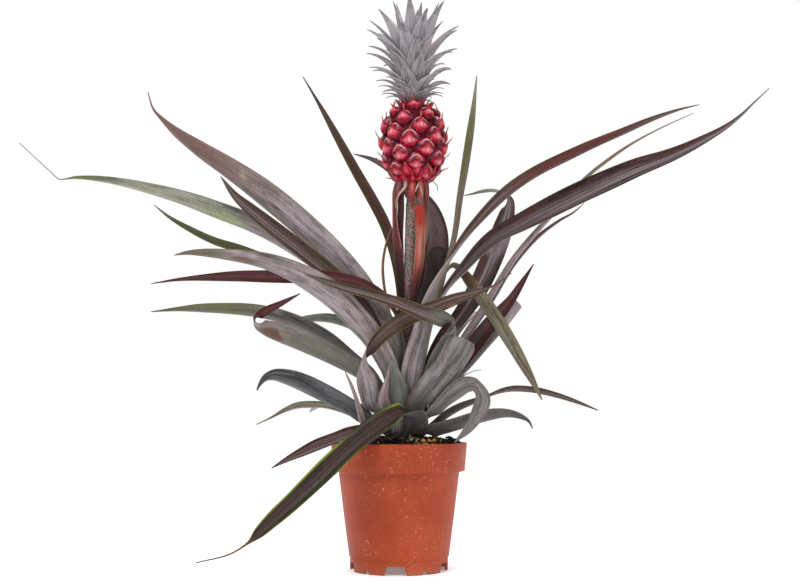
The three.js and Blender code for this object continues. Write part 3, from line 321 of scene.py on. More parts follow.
        (12, 172, -20, 21, -174), (15, 190, -23, 19.5, -170), (20, 208, -24.5, 17.5, -162),
        (27, 236, -24.5, 15, -140), (36.5, 261, -23, 15, -105), (51.5, 286, -20, 16, -80),
        (70.5, 311, -16, 17, -64), (97, 338.5, -11, 17.5, -56), (128, 360.5, -6, 17, -54),
        (165, 379, -1, 15, -54), (204, 396.5, 5, 11.5, -54), (236, 410.4, 9, 7.4, -54),
        (262, 419.6, 12, 3.4, -54), (280, 424.2, 14, 0.8, -54)]],
    ["leaf_right_long", (-28, 163, 11), [
        (23, 195, -4, 14, -120), (32, 227, -4, 16, -100), (42.5, 249.5, -5, 18.5, -80),
        (59, 269, -5, 21, -66), (84, 295, -2, 23.5, -56), (116, 313.5, 3, 26, -48),
        (150, 331, 9, 27.5, -44), (185, 348, 16, 27, -42), (219, 363, 22, 23.5, -42),
        (251, 375.2, 28, 18, -44), (281, 389.5, 33, 12.5, -48), (303, 402, 36, 8, -52),
        (318, 413.5, 38, 4.4, -54), (331, 426, 39.5, 2.2, -54), (345.8, 439.8, 41, 0.8, -54)]],
    ["leaf_right_thin", (6, 151, 8), [
        (44, 184, 6, 8, -110), (62, 211, 12, 9.5, -118), (76, 231.5, 17, 10, -122), (93, 259, 25, 10, -124),
        (108, 281.5, 33, 9.4, -124), (127, 304.5, 43, 8.8, -124), (150, 329, 55, 7.6, -124),
        (173, 354.5, 67, 6.4, -122), (194, 371.3, 77, 6.4, -118), (218, 388, 88, 4.6, -114),
        (246, 403, 100, 2.8, -110), (274, 416, 112, 0.8, -110)]],
    ["leaf_right_thin_lower", (20, 154, 7), [
        (41, 178, 20, 7, -110), (64, 209, 30, 8, -116), (85.5, 241, 39, 8.6, -118),
        (105, 273, 47, 8.6, -118), (127, 298.6, 55, 8, -116), (147.5, 314.2, 62, 6, -112),
        (161, 322.2, 67, 3.8, -106), (171, 331, 71, 0.8, -100)]],
    ["leaf_right_bent_back", (-6, 160, 11), [
        (29, 186, -1, 15, -60), (41, 206, 2, 18, -48), (57, 226, 11, 20, -40), (74, 253, 24, 23, -34),
        (86, 279, 36, 24.5, -32), (95, 304, 48, 23.5, -34), (100, 322, 57, 19, -40),
        (101.5, 333, 66, 14, -58), (97.5, 339.5, 73, 9, -90), (88, 343.2, 79, 6.4, -120),
        (76, 342.2, 84, 4.8, -130), (68, 340, 87, 3, -130), (60, 338.2, 90, 0.9, -130)]],
    ["leaf_right_hanging", (22, 173, 8), [
        (22, 214, 12, 10, -50), (33, 245, 14, 12, -60), (42, 266, 15, 12.5, -80),
        (49.5, 272.5, 14, 12.5, -105), (58, 265.5, 8, 13.5, -128), (68, 252.5, 1, 15, -138),
        (84.5, 229.2, -10, 15.5, -142), (100, 204.8, -19, 14.5, -142), (112, 183.3, -26, 11.5, -142),
        (121.5, 166.2, -32, 6.8, -142), (129.6, 150.1, -36, 0.9, -142)]],
    ["leaf_right_dark", (-14, 139, 12), [
        (38, 160, -6, 17, -62), (56, 182, -5, 20, -52), (70, 200.5, -3, 20.5, -44),
        (83, 217.5, -0.5, 18.5, -40), (94.5, 231, 1.5, 15, -40), (103.5, 242.2, 3.5, 11, -42),
        (111.5, 254.5, 5.5, 8.2, -46), (118, 265, 7.5, 4.4, -48), (123.7, 274.5, 9.5, 0.8, -48)]],
    ["leaf_right_torn", (12, 137, 9), [
        (43, 160, 9, 12, -120), (62, 182, 11, 14, -132), (78, 201, 12.5, 14.5, -140),
        (92, 217.5, 14, 14.5, -146), (101, 228.5, 15, 13.5, -150), (110, 237.5, 16, 9, -152)]],
    ["leaf_right_arched", (-20, 126, 8), [
        (33, 128.5, -11, 9, -136), (42.5, 136.5, -12, 9.6, -136), (54, 143, -12, 9.6, -132),
        (68, 148.4, -10, 9.6, -118), (83, 154.6, -7, 9.4, -84), (101, 159.6, -2, 9, -56),
        (120.5, 159.2, 3, 8.4, -50), (141, 154.6, 8, 7.4, -50), (162, 147.8, 13, 4.8, -50),
        (180.2, 140.8, 17, 0.9, -50)]],
    ["leaf_right_low", (-46, 121, 12), [
        (28, 121.5, -23, 14.5, -138), (38, 124, -25, 15, -138), (52, 128, -26, 15, -138),
        (67, 132.6, -27, 15, -137), (82, 136, -27.5, 14, -136), (96, 137.5, -27.5, 11, -134),
        (108, 135.6, -27, 7.6, -132), (117, 131, -26.5, 3.6, -130), (120.7, 124.4, -26, 0.9, -130)]],
]

# The broad leaf that rises in front of the stem and bends over towards the viewer, whose turn of 0 has
# its upper face up and to the back
OVERHANGING_LEAF = ["leaf_front_low_left", (-76, 121, 15), [
    (12.6, 129, -26, 19, -8, 48), (13.5, 136.5, -31, 23, -26, 60), (4.5, 140.5, -39, 22, -62, 56),
    (-10, 133.5, -46, 20.5, -95, 40), (-39, 112.3, -68, 18.5, -102), (-64, 89, -85, 18.5, -106),
    (-95.5, 59, -107, 15.5, -104), (-112, 44, -119, 13.5, -102), (-125, 31.5, -129, 9.5, -98),
    (-134.5, 23, -137, 2.6, -95), (-151, 13, -149, 1.3, -97), (-181, 5.5, -166, 0.9, -99)]]

# Leaves at the back, whose rows are real places (x, y, z, blade width, turn), with the upper face up
BACK_LEAVES = [
    ["leaf_back_arch", (96, 150, 13), [
        (10, 48, 186, 17, 0), (13, 80, 205, 19, 0), (15.5, 112, 214, 18, 0), (18, 142, 211, 13, 0),
        (20, 168, 197, 0.9, 0)]],
    ["leaf_back_low_right", (56, 127, 13), [
        (24, 48, 143, 17, 0), (30, 84, 155, 19, 0), (35, 124, 158, 15, 0), (38, 164, 149, 0.9, 0)]],
    ["leaf_back_low_left", (124, 127, 13), [
        (-9, 48, 139, 17, 0), (-13, 86, 148, 18, 0), (-17, 126, 148, 14, 0), (-20, 166, 136, 0.9, 0)]],
    ["leaf_back_right", (42, 145, 11), [
        (38, 42, 190, 15, 0), (56, 68, 219, 17, 0), (70, 98, 234, 15.5, 0), (83.5, 130, 241.5, 10, 0),
        (95, 160, 239.5, 0.9, 0)]],
    ["leaf_back_left", (112, 157, 10), [
        (-12.5, 46, 217, 13, 0), (-30, 74, 236.5, 15, 0), (-48.5, 104, 248, 14.5, 0),
        (-66, 136, 252, 10, 0), (-79, 166, 252, 0.9, 0)]],
    ["leaf_back_low_far_left", (148, 133, 11), [
        (-27, 40, 141, 14, 0), (-47, 66, 147, 16, 0), (-66, 96, 149, 15, 0), (-82, 124, 145, 10, 0),
        (-93, 148, 139, 0.9, 0)]],
    ["leaf_back_low_far_right", (18, 121, 10), [
        (37, 16, 126, 12, 0), (48, 34, 130, 13, 0), (58, 54, 132, 11, 0), (67, 76, 131, 7, 0),
        (73, 98, 127, 0.9, 0)]],
]

# Long bracts on the stalk, with rows as a leaf's
STALK_BRACTS = [
    ["bract_left", (-165, 226, 4), [
        (2, 243, -4, 5, 164), (1, 262, -5, 6.6, 162), (-0.2, 280, -5.5, 8.6, 160),
        (-2.4, 296, -6.5, 7.8, 160), (-3.6, 311, -7.5, 5.4, 158), (-4, 329, -8, 4.8, 158),
        (-3, 342, -9, 6.6, 158), (-1.4, 351, -9, 4.4, 156)]],
    ["bract_right", (-52, 226, 5), [
        (14.4, 242, -7.5, 7.6, -150), (16, 258, -9.5, 7.6, -152), (18.8, 277, -11, 9.4, -156),
        (20, 298, -12, 9, -162), (20.2, 313, -12.5, 10, -168), (18.6, 329.5, -13, 8.8, -176)]],
    # bract_dark: dark maroon, partly its own colour and partly painted shade of its shadowed inner face
    # between the left bract and the stalk.
    ["bract_dark", (-168, 279, 2.4), [
        (2.6, 291, -1.6, 3, 160), (1.2, 304, -3.2, 5.4, 160), (1.3, 314, -4.8, 6, 160),
        (1.6, 326, -6.5, 6.4, 160), (1.9, 337, -8, 5.6, 162), (3, 345, -9, 3.8, 162),
        (4.4, 350, -9.4, 0.9, 162)]],
    ["bract_far_right", (-6, 274, 3), [
        (21.5, 286, 1, 3, -110), (25.6, 300, 0.5, 3.2, -118), (26, 316, 0, 3.4, -126),
        (25, 328, -1.5, 4.4, -134), (25, 339, -3.5, 6, -142), (22.8, 347.5, -5.5, 4, -146)]],
]

# Bracts that hang out of the collar: material, start (across, up, behind), its width, rows as above, and
# marks as below
HANGING_BRACTS = [
    ("maroon", (20, 351, -5), 2.6, [
        (24, 352.5, -7, 2.4, 90), (29, 352.6, -9, 2.1, 90), (33, 350, -10, 1.9, 90),
        (35.5, 346, -10, 1.6, 90), (35.8, 342.2, -10, 0.5, 90)], []),
    ("bright", (12.3, 355, -7), 6, [
        (12.2, 349, -11, 6, 176), (12, 343, -12, 5.4, 174), (12, 335.5, -12.4, 4.6, 172),
        (12.3, 329, -12.4, 2.8, 170), (12.5, 325.5, -12.4, 0.5, 170)],
        [((0.35, 0.2), (0, 0.5), "bc7470"), ((0.85, 0.35), (0, 3), "6a2826")]),
    ("pale", (5.2, 355, -7), 2.4, [
        (5.8, 350, -10.4, 2.8, 175), (5.4, 346.5, -11.4, 2.6, 180), (2.8, 343, -12, 2.4, 200),
        (-0.2, 339.5, -11.8, 2.2, 205), (-2.4, 333, -10.8, 1.8, 190), (-3.2, 326, -10, 0.5, 180)],
        [((0.9, 0.4), (0, 3), "9a6a66")]),
    ("red", (0.6, 354, -6), 6, [
        (-0.4, 349, -9.5, 7, 160), (-1.6, 343, -10, 6.2, 158), (-2.8, 336, -9.6, 3.6, 156),
        (-3.4, 329, -9, 0.5, 156)], [((0.3, 0.4), (0.3, 0.8), "94586a")]),
    ("red", (22, 354, -5), 6, [
        (23.6, 349, -8, 7.4, 196), (24.8, 342, -8.6, 6.6, 198), (25.2, 335, -8, 4.4, 200),
        (24.6, 328, -7, 0.6, 200)], [((0.5, 0.4), (0.4, 0.6), "8a3c38")]),
    ("pale", (20.6, 354, -8), 1.4, [
        (18.4, 349.5, -12, 1.6, 185), (16.2, 345, -12.6, 1.4, 185), (15, 341.5, -12.6, 0.4, 185)],
        [((0.1, 0.5), (0, 3), "c8443c")]),
    ("pale", (19.4, 348, -11.6), 1, [
        (20.4, 344, -12.4, 1.3, 185), (21.6, 340, -12.4, 1.1, 185), (22, 337, -12.4, 0.4, 185)], []),
    ("inner", (17.6, 355, -7), 3.4, [
        (19.4, 350, -10.4, 4.6, 190), (20.4, 344, -11, 4.4, 192), (20.2, 337, -11.2, 3.4, 192),
        (19.8, 331, -11.2, 0.6, 192)], [((0.6, 0.4), (0, 0.8), "8a4038")]),
]

# The look of a leaf's upper face and of its underside, and its marks: ((place along, reach), (place
# across, spread), colour). Places run along from 0 at the root to 1, and across from -1 to 1.
PLAIN = ("purple", "mauve", [])
LOOKS = {
    "leaf_front_low_left": ("green_bright", "grey_dark", [
        ((0.86, 0.07), (0, 3), "7a5c36"), ((1.0, 0.12), (0, 3), "6a5038"),
        ((0.55, 0.25), (-0.7, 0.4), "2c3016"), ((0.27, 0.17), (1, 0.3), "38312a"),
        ((0.27, 0.17), (-1, 0.3), "38312a")]),
    "leaf_front_wide": ("purple", "mauve_dark", [
        ((0.2, 0.35), (1.0, 0.2), "5f3d36"), ((0.1, 0.3), (0, 1.6), "55564f")]),
    "leaf_front_middle": ("purple", "grey_green", [((0.3, 0.5), (0, 2), "63645d")]),
    "leaf_front_narrow": ("purple", "pink", []),
    "leaf_crossing_right": ("green_edged", "mauve", [((0.72, 0.02), (0.8, 0.3), "8a5a38")]),
    "leaf_crossing_left": ("green_edged", "mauve", [
        ((0.22, 0.35), (0, 2), "686963"), ((0.62, 0.02), (0.4, 0.3), "86492c")]),
    "leaf_front_curl_right": ("purple", "mauve_dark", [((0.52, 0.02), (0.3, 0.25), "5f463c")]),
    "leaf_front_dry_tip": ("olive", "grey_green", [((0.7, 0.6), (0, 3), "5c3f36")]),
    "leaf_left_outer_small": ("purple", "pink", []),
    "leaf_left_long": ("purple", "mauve", [
        ((0.645, 0.018), (-0.3, 0.4), "a09682"), ((0.62, 0.02), (0.6, 0.3), "5d5230"),
        ((0.92, 0.36), (0, 3), "6b4f48"), ((0.8, 0.04), (0.4, 0.5), "4a3228")]),
    "leaf_left_channelled": ("green_edged", "grey_dark", []),
    "leaf_left_far": ("olive", "grey_green", [
        ((0.86, 0.1), (-0.2, 1.4), "6c7044"), ((0.52, 0.06), (0.2, 0.8), "9aa476"),
        ((0.2, 0.4), (0, 3), "8f8182"), ((0.66, 0.2), (0.3, 1.6), "94927f")]),
    "leaf_left_green": ("olive", "grey_green", [((0.7, 0.4), (0, 3), "45461f")]),
    "leaf_left_wide": ("purple", "mauve", [
        ((0.92, 0.14), (0, 3), "645c48"), ((0.76, 0.06), (0.2, 0.7), "6a4c34")]),
    "leaf_left_maroon": ("maroon", "grey_dark", []),
    "leaf_back_left": ("purple", "grey_green", [((0.95, 0.3), (0, 3), "8d8f86")]),
    "leaf_back_arch": ("olive", "grey_green", [((0.95, 0.3), (0, 3), "8b9080")]),
    "leaf_left_pale_low": ("olive", "mauve_dark", [((0.8, 0.3), (0, 3), "5d5b40")]),
    "leaf_left_behind": ("olive", "grey_green", []),
    "leaf_left_folded": ("maroon", "mauve", [
        ((0.66, 0.09), (0.4, 1.2), "5a3c2a"), ((0.61, 0.05), (-0.1, 0.4), "7d735a"),
        ((0.38, 0.4), (0, 1.8), "66665a")]),
    "leaf_left_hooked": ("purple", "slate", []),
    "leaf_left_small_olive": ("olive", "olive_under", [((1.0, 0.1), (0, 3), "8a7a5c")]),
    "leaf_low_left_dark": ("purple", "grey_dark", []),
    "leaf_upright_left": ("green_edged", "grey_dark", [
        ((0.5, 0.9), (-0.7, 0.6), "4e4224"), ((0.5, 0.9), (0.3, 0.9), "4c3025")]),
    "leaf_upright_thin_left": ("rust", "rust", []),
    "leaf_behind_stalk": ("purple", "grey_dark", [((0.6, 0.6), (0.1, 1.0), "6c5458")]),
    "leaf_behind_stalk_short": ("purple", "grey_dark", [((0.5, 0.7), (0, 1.6), "2c2224")]),
    "leaf_upright_thin_right": ("thin_olive", "olive_under", [
        ((0.25, 0.5), (0.4, 1.4), "947a72"), ((0.75, 0.2), (-0.3, 1.2), "7d8050")]),
    "leaf_right_upper": ("green_edged", "mauve", [
        ((0.1, 0.34), (1, 0.6), "aa9c9c"), ((0.7, 0.25), (-0.2, 0.9), "602c28")]),
    "leaf_right_long": ("purple", "mauve", [
        ((0.05, 0.3), (1, 0.6), "aa9c9c"), ((0.7, 0.35), (0.9, 0.3), "1c1618")]),
    "leaf_right_thin": ("purple", "pink", [((0.75, 0.3), (0.4, 0.8), "6e5a3c")]),
    "leaf_right_thin_lower": ("purple", "grey_dark", [((0.75, 0.35), (0, 1.5), "4a2420")]),
    # The pale lilac mark at 0.62 along is a painted sheen on the top bend. The pale tip is the leaf's own
    # colour.
    "leaf_right_bent_back": ("purple", "grey_green", [
        ((0.62, 0.1), (0, 1.4), "8f8289"), ((0.93, 0.12), (0, 3), "989a86")]),
    "leaf_right_hanging": ("olive_under", "olive_under", [((0.5, 0.1), (0, 1.4), "7a5a40")]),
    "leaf_right_dark": ("maroon", "grey_dark", [((0.3, 0.4), (-0.2, 0.7), "221c12")]),
    "leaf_right_torn": ("purple", "mauve", [((0.5, 0.4), (0, 3), "2c2728")]),
    "leaf_right_arched": ("green_edged", "grey_dark", [((0.3, 0.25), (0, 3), "4a403a")]),
    "leaf_right_low": ("purple", "grey_dark", []),
}
# The look of a stalk bract and its marks
BRACT_LOOKS = {
    "bract_left": ("red", [
        ((0.05, 0.62), (0, 3), "1c0f0c"), ((0.72, 0.3), (-0.9, 0.35), "9a6c64"),
        ((0.93, 0.1), (-0.2, 0.7), "87485a")]),
    "bract_right": ("inner", [
        ((0.0, 0.55), (0, 3), "22161a"), ((0.25, 0.2), (0.7, 0.6), "5a2628"),
        ((0.62, 0.28), (-0.95, 0.3), "b88450"), ((0.62, 0.2), (0.2, 0.3), "ac7c72"),
        ((0.97, 0.22), (0, 2.5), "96281c")]),
    "bract_dark": ("maroon", [((0.02, 0.12), (0, 3), "a8606a")]),
    "bract_far_right": ("red", [((0.3, 0.42), (0, 3), "86746c")]),
}

# Leaf colours: the dark and the light of the streaks, the margin and its width, the tint of the zones, and
# on an upper face the pale band in its channel, partly wax bloom and partly painted sheen
UPPER_COLOURS = {
    "purple": ("180c0a", "523533", "485022", 0.05, "4a231b", "8f8589"),
    "green_edged": ("1e130f", "523b35", "5a6428", 0.05, "4c2a1f", "766b69"),
    "green_bright": ("180d0b", "3f2825", "7b9430", 0.12, "33200f", "4c4140"),
    "olive": ("2e2718", "6a603f", "6b7232", 0.07, "50522e", "8d8870"),
    "thin_olive": ("5c5046", "a39989", "6e7444", 0.1, "8c8460", "9b9a84"),
    "maroon": ("1a0506", "4c1c20", "553a2c", 0.05, "401014", "5a3034"),
}
UNDER_COLOURS = {
    "mauve": ("483d3f", "9a8e91", "6e6450", 0.03, "77675f"),
    "mauve_dark": ("332c2d", "857b7d", "62593f", 0.04, "626159"),
    "slate": ("1a1b1d", "585a5d", "4c4c3a", 0.04, "2f2825"),
    "grey_green": ("31312c", "83857c", "6c6e48", 0.035, "6a6360"),
    "grey_dark": ("1d1819", "5c5556", "525038", 0.04, "3f3a36"),
    "pink": ("4b3b3d", "9d8b8c", "7a6a58", 0.03, "7d6862"),
    "olive_under": ("39342a", "8b8470", "565c34", 0.06, "6a5844"),
    "rust": ("542a1d", "9c6848", "a08058", 0.05, "6f4630"),
}
BRACT_COLOURS = {
    "red": ("33100e", "78403a", "946058", 0.06, "541d1a"),
    # maroon: partly the bracts' own colour, partly painted shade, as on the shadowed inner face of
    # bract_dark.
    "maroon": ("1b0b0b", "40211f", "74443e", 0.05, "2e1414"),
    "inner": ("5c1e18", "a85a4a", "b07050", 0.07, "8c3c30"),
    "pale": ("8c6460", "c8a8a2", "b07a72", 0.1, "a88078"),
    "bright": ("6a1212", "a8302a", "b05850", 0.08, "841e1c"),
}
# The slots of the soil's materials
DARK, GRAIN, MOSS, BROWN, FIBRE, SPROUT = range(6)
# The slots of the crumbs, each with the share from 0 to 1 that it goes up to
CRUMB_KINDS = [(0.025, GRAIN), (0.045, MOSS), (0.22, BROWN), (1, DARK)]
# The soil's materials, in the order of their slots: name, dark, light
SOIL_COLOURS = [
    ("dark", "080504", "211812"), ("grain", "a8742e", "efc070"), ("moss", "4a5a28", "8a9a58"),
    ("brown", "2e2018", "5c4430"), ("fibre", "5a4430", "8d7452"), ("sprout", "9aa878", "d4dcb8"),
]


def rgb(hex_code):
    """A colour as read on a screen, turned into the linear values that the shaders take."""
    values = [int(hex_code[i:i + 2], 16) / 255 for i in (0, 2, 4)]
    return tuple(v / 12.92 if v <= 0.04045 else ((v + 0.055) / 1.055) ** 2.4 for v in values) + (1,)


def painted(hex_code, strength, most=1):
    """The paint of a point: a colour, and how far it covers what the material gives."""
    return (*rgb(hex_code)[:3], min(most, strength))


def wobble(index, salt):
    """A repeatable number from 0 to 1 for the small irregularities of things that grew."""
    value = math.sin(index * 12.9898 + salt * 78.233) * 43758.5453
    return value - math.floor(value)


def between(low, high, index, salt):
    """A repeatable number between two others."""
    return low + (high - low) * wobble(index, salt)


def bell(value, middle, width):
    """A smooth hump that is 1 at its middle."""
    return math.exp(-((value - middle) / width) ** 2)


def interpolate(table, at):
    """The value that a table of (value, place) rows gives at a place."""
    if at <= table[0][1]:
        return table[0][0]
    for (low_value, low), (high_value, high) in zip(table, table[1:]):
        if at <= high:
            return low_value + (high_value - low_value) * (at - low) / (high - low)
    return table[-1][0]


def around(angle):
    """The level direction at an angle, and the one along the circle there."""
    return Vector((math.cos(angle), math.sin(angle), 0)), Vector((-math.sin(angle), math.cos(angle), 0))


def ring(middle, radius, sides):
    return [middle + around(math.tau * k / sides)[0] * radius for k in range(sides)]


def new_object(name, data):
    made = bpy.data.objects.new(name, data)
    bpy.context.scene.collection.objects.link(made)
    return made


# Camera and lights
def add_camera():
    data = bpy.data.cameras.new("camera")
    data.lens = LENS
    data.sensor_width = SENSOR
    data.clip_start = 0.05
    data.clip_end = 50
    camera = new_object("camera", data)
    camera.location = (VIEW_ACROSS * MM, -VIEW_DISTANCE * MM, VIEW_HEIGHT * MM)
    camera.rotation_euler = (math.radians(90 + VIEW_PITCH), 0, 0)
    bpy.context.scene.camera = camera


def add_area_light(name, place, target, size, power):
    data = bpy.data.lights.new(name, "AREA")
    data.shape = "DISK"
    data.size = size
    data.energy = power
    light = new_object(name, data)
    light.location = place
    light.rotation_euler = (Vector(target) - Vector(place)).to_track_quat("-Z", "Y").to_euler()


def add_studio():
    """White behind everything that the camera sees, a softer light all round, and three soft lamps."""
    world = bpy.data.worlds.new("studio")
    world.use_nodes = True
    nodes, links = world.node_tree.nodes, world.node_tree.links
    background = nodes["Background"]
    background.inputs["Color"].default_value = (1, 1, 1, 1)
    path = nodes.new("ShaderNodeLightPath")
    strength = nodes.new("ShaderNodeMapRange")
    links.new(path.outputs["Is Camera Ray"], strength.inputs["Value"])
    strength.inputs["To Min"].default_value = 0.62
    strength.inputs["To Max"].default_value = 1.0
    links.new(strength.outputs[0], background.inputs["Strength"])
    bpy.context.scene.world = world
    bpy.context.scene.view_settings.view_transform = "Standard"
    add_area_light("key", (-0.9, -1.3, 1.7), (0, 0, 0.25), 0.9, 24)
    add_area_light("fill", (1.3, -1.1, 0.9), (0, 0, 0.25), 1.2, 8)
    add_area_light("back", (0.3, 1.4, 1.5), (0, 0, 0.3), 1.2, 12)


def floor_material():
    """Pale and plain, with a painted soft shadow: its glow is a little less bright close to the pot."""
    tree = Tree("floor", {
        "Base Color": (0.95, 0.95, 0.95, 1), "Roughness": 0.9, "Specular IOR Level": 0,
        "Emission Color": (1, 1, 1, 1),
    })
    x, y, _ = tree.split(tree.place())
    reach = tree.math("SQRT", tree.plus(tree.times(x, x), tree.times(y, y)))
    # Painted shadow: the emission drops close to the pot's foot.
    tree.drive("Emission Strength", tree.ramp(reach, 0.04, 0.064, 0.2, 0.42))
    return tree.material


def add_floor():
    half = 6
    corners = [(-half, -half, 0), (half, -half, 0), (half, half, 0), (-half, half, 0)]
    mesh = bpy.data.meshes.new("floor")
    mesh.from_pydata(corners, [], [(0, 1, 2, 3)])
    mesh.materials.append(floor_material())
    new_object("floor", mesh)


# Material building blocks
class Tree:
    """A new material and short ways to add the nodes that it is made of. A colour may be its hex code."""

    def __init__(self, name, settings):
        self.material = bpy.data.materials.new(name)
        self.material.use_nodes = True
        self.nodes = self.material.node_tree.nodes
        self.links = self.material.node_tree.links
        self.shader = self.nodes["Principled BSDF"]
        for key, value in settings.items():
            self.shader.inputs[key].default_value = value

    def add(self, kind, **settings):
        made = self.nodes.new(kind)
        for key, value in settings.items():
            setattr(made, key, value)
        return made

    def feed(self, socket, value):
        if isinstance(value, bpy.types.NodeSocket):
            self.links.new(value, socket)
        else:
            socket.default_value = rgb(value) if isinstance(value, str) else value

    def fed(self, kind, values, **settings):
        """A new node whose first inputs take these values. Gives its first output."""
        made = self.add(kind, **settings)
        for socket, value in zip(made.inputs, values):
            self.feed(socket, value)
        return made.outputs[0]

    def drive(self, key, value):
        """Links a node's output to an input of the shader."""
        self.feed(self.shader.inputs[key], value)

    def math(self, operation, *values):
        return self.fed("ShaderNodeMath", values, operation=operation)

    def times(self, a, b):
        return self.math("MULTIPLY", a, b)

    def plus(self, a, b):
        return self.math("ADD", a, b)

    def ramp(self, value, low, high, to_low=0.0, to_high=1.0):
        parts = (value, low, high, to_low, to_high)
        return self.fed("ShaderNodeMapRange", parts, interpolation_type="SMOOTHSTEP")

    def mix(self, share, a, b):
        made = self.add("ShaderNodeMix", data_type="RGBA")
        self.feed(made.inputs["Factor"], share)
        self.feed(made.inputs[6], a)
        self.feed(made.inputs[7], b)
        return made.outputs[2]

    def noise(self, vector, scale, detail=3.0, roughness=0.55):
        made = self.add("ShaderNodeTexNoise")
        self.feed(made.inputs["Vector"], vector)
        made.inputs["Scale"].default_value = scale
        made.inputs["Detail"].default_value = detail
        made.inputs["Roughness"].default_value = roughness
        return made.outputs[0]

    def stretched(self, vector, scales, shift=(0, 0, 0)):
        return self.fed("ShaderNodeVectorMath", (vector, scales, shift), operation="MULTIPLY_ADD")

    def split(self, vector):
        made = self.add("ShaderNodeSeparateXYZ")
        self.feed(made.inputs[0], vector)
        return made.outputs

    def place(self):
        return self.add("ShaderNodeTexCoord").outputs["Object"]

    def paint(self):
        """The painted colour and its strength."""
        made = self.add("ShaderNodeAttribute", attribute_name="Paint")
        return made.outputs["Color"], made.outputs["Alpha"]

    def bump(self, height, distance, strength):
        made = self.add("ShaderNodeBump")
        made.inputs["Strength"].default_value = strength
        made.inputs["Distance"].default_value = distance
        self.feed(made.inputs["Height"], height)
        self.drive("Normal", made.outputs[0])


# Leaf materials. A blade's own map gives the place across it, from 0 to 1, and along it, in 100 mm.
def blade_material(name, roughness, scurf, dark, light, margin, margin_width, tint, bloom_and_sheen=None):
    """Long fine streaks and ribs, zones of tint, a channel band of wax bloom and painted sheen, a margin, and
    the painted marks.
    """
    tree = Tree(name, {"Specular IOR Level": 0.18, "Sheen Weight": scurf, "Sheen Roughness": 0.5})
    blade = tree.add("ShaderNodeUVMap", uv_map="Blade").outputs[0]

    def streaks(count, length, offset, detail):
        return tree.noise(tree.stretched(blade, (count, length, 0), (0, 0, offset)), 1, detail, 0.6)

    fine = streaks(60, 3.4, 0, 4)
    ribs = streaks(11, 0.45, 4, 3)
    patches = streaks(3.6, 1.5, 23, 7)
    mottle = tree.noise(tree.place(), 150, 4, 0.65)
    value = tree.times(fine, 0.4)
    for part, weight in ((ribs, 0.1), (patches, 0.38), (mottle, 0.12)):
        value = tree.plus(value, tree.times(part, weight))
    colour = tree.mix(tree.ramp(value, 0.42, 0.57), dark, light)
    zones = tree.ramp(streaks(1.6, 0.8, 9, 4), 0.46, 0.66, 0, 0.7)
    colour = tree.mix(zones, colour, tint)
    edge = tree.math("ABSOLUTE", tree.plus(tree.times(tree.split(blade)[0], 2), -1))
    # Partly wax bloom, partly painted sheen: a pale band down the middle of the blade in place of a glossy
    # highlight.
    if bloom_and_sheen:
        broken = tree.ramp(streaks(7, 0.35, 17, 4), 0.42, 0.6, 0.12, 1)
        colour = tree.mix(tree.times(tree.ramp(edge, 0.1, 0.72, 0.85, 0), broken), colour, bloom_and_sheen)
    scars = tree.ramp(streaks(9, 4, 31, 4), 0.6, 0.7, 0, 0.55)
    colour = tree.mix(scars, colour, dark)
    rim = tree.ramp(edge, 1 - margin_width * 2, 1 - margin_width * 0.5, 0, 0.9)
    colour = tree.mix(rim, colour, margin)
    paint, strength = tree.paint()
    broken = tree.ramp(tree.plus(strength, tree.times(fine, 0.4)), 0.28, 1.1)
    share = tree.times(broken, tree.ramp(strength, 0.0, 0.12))
    colour = tree.mix(share, colour, tree.mix(tree.ramp(value, 0.42, 0.57, 0.55, 0), paint, dark))
    tree.drive("Base Color", colour)
    tree.drive("Roughness", tree.plus(roughness - 0.1, tree.times(mottle, 0.2)))
    tree.bump(tree.plus(tree.times(fine, 0.6), tree.times(ribs, 0.8)), 0.001, 0.4)
    return tree.material


def blade_materials(kind, colours, roughness, scurf):
    return {name: blade_material(kind + name, roughness, scurf, *row) for name, row in colours.items()}


def leaf_materials():
    upper = blade_materials("leaf_upper_", UPPER_COLOURS, 0.38, 0.03)
    return upper | blade_materials("leaf_under_", UNDER_COLOURS, 0.5, 0.15)


# Meshes
def ring_faces(rings, wide):
    """The faces of a closed body made of rings of points, with a cap on each end."""
    faces = grid_faces(rings, wide, True)
    end = (rings - 1) * wide
    return faces + [tuple(reversed(range(wide))), tuple(range(end, end + wide))]


def grid_faces(rows, wide, closed):
    faces = []
    for r in range(rows - 1):
        for c in range(wide if closed else wide - 1):
            a, b = r * wide + c, r * wide + (c + 1) % wide
            faces.append((a, b, b + wide, a + wide))
    return faces


def turned(faces):
    return [face[::-1] for face in faces]


def tube(path, radii, sides):
    """Points and faces of a closed tube along a path."""
    points = []
    for i, middle in enumerate(path):
        after = path[min(i + 1, len(path) - 1)]
        before = path[max(i - 1, 0)]
        run = (after - before).normalized()
        side = run.cross(Vector((0.12, -1, 0.07))).normalized()
        other = side.cross(run)
        for k in range(sides):
            angle = math.tau * k / sides
            points.append(middle + (side * math.cos(angle) + other * math.sin(angle)) * radii[i])
    return points, turned(ring_faces(len(path), sides))


def mesh_object(name, points, faces, materials, slots=None):
    mesh = bpy.data.meshes.new(name)
    mesh.from_pydata([tuple(point * MM) for point in points], [], faces)
    for material in materials:
        mesh.materials.append(material)
    if slots:
        mesh.polygons.foreach_set("material_index", slots)
    mesh.polygons.foreach_set("use_smooth", [True] * len(faces))
    mesh.update()
    made = new_object(name, mesh)
    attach(made, "root")
    return made


def add_blade_map(mesh, places):
    layer = mesh.uv_layers.new(name="Blade")
    corners = [0] * len(mesh.loops)
    mesh.loops.foreach_get("vertex_index", corners)
    layer.data.foreach_set("uv", [value for corner in corners for value in places[corner]])


def unpainted(along, across):
    return UNPAINTED


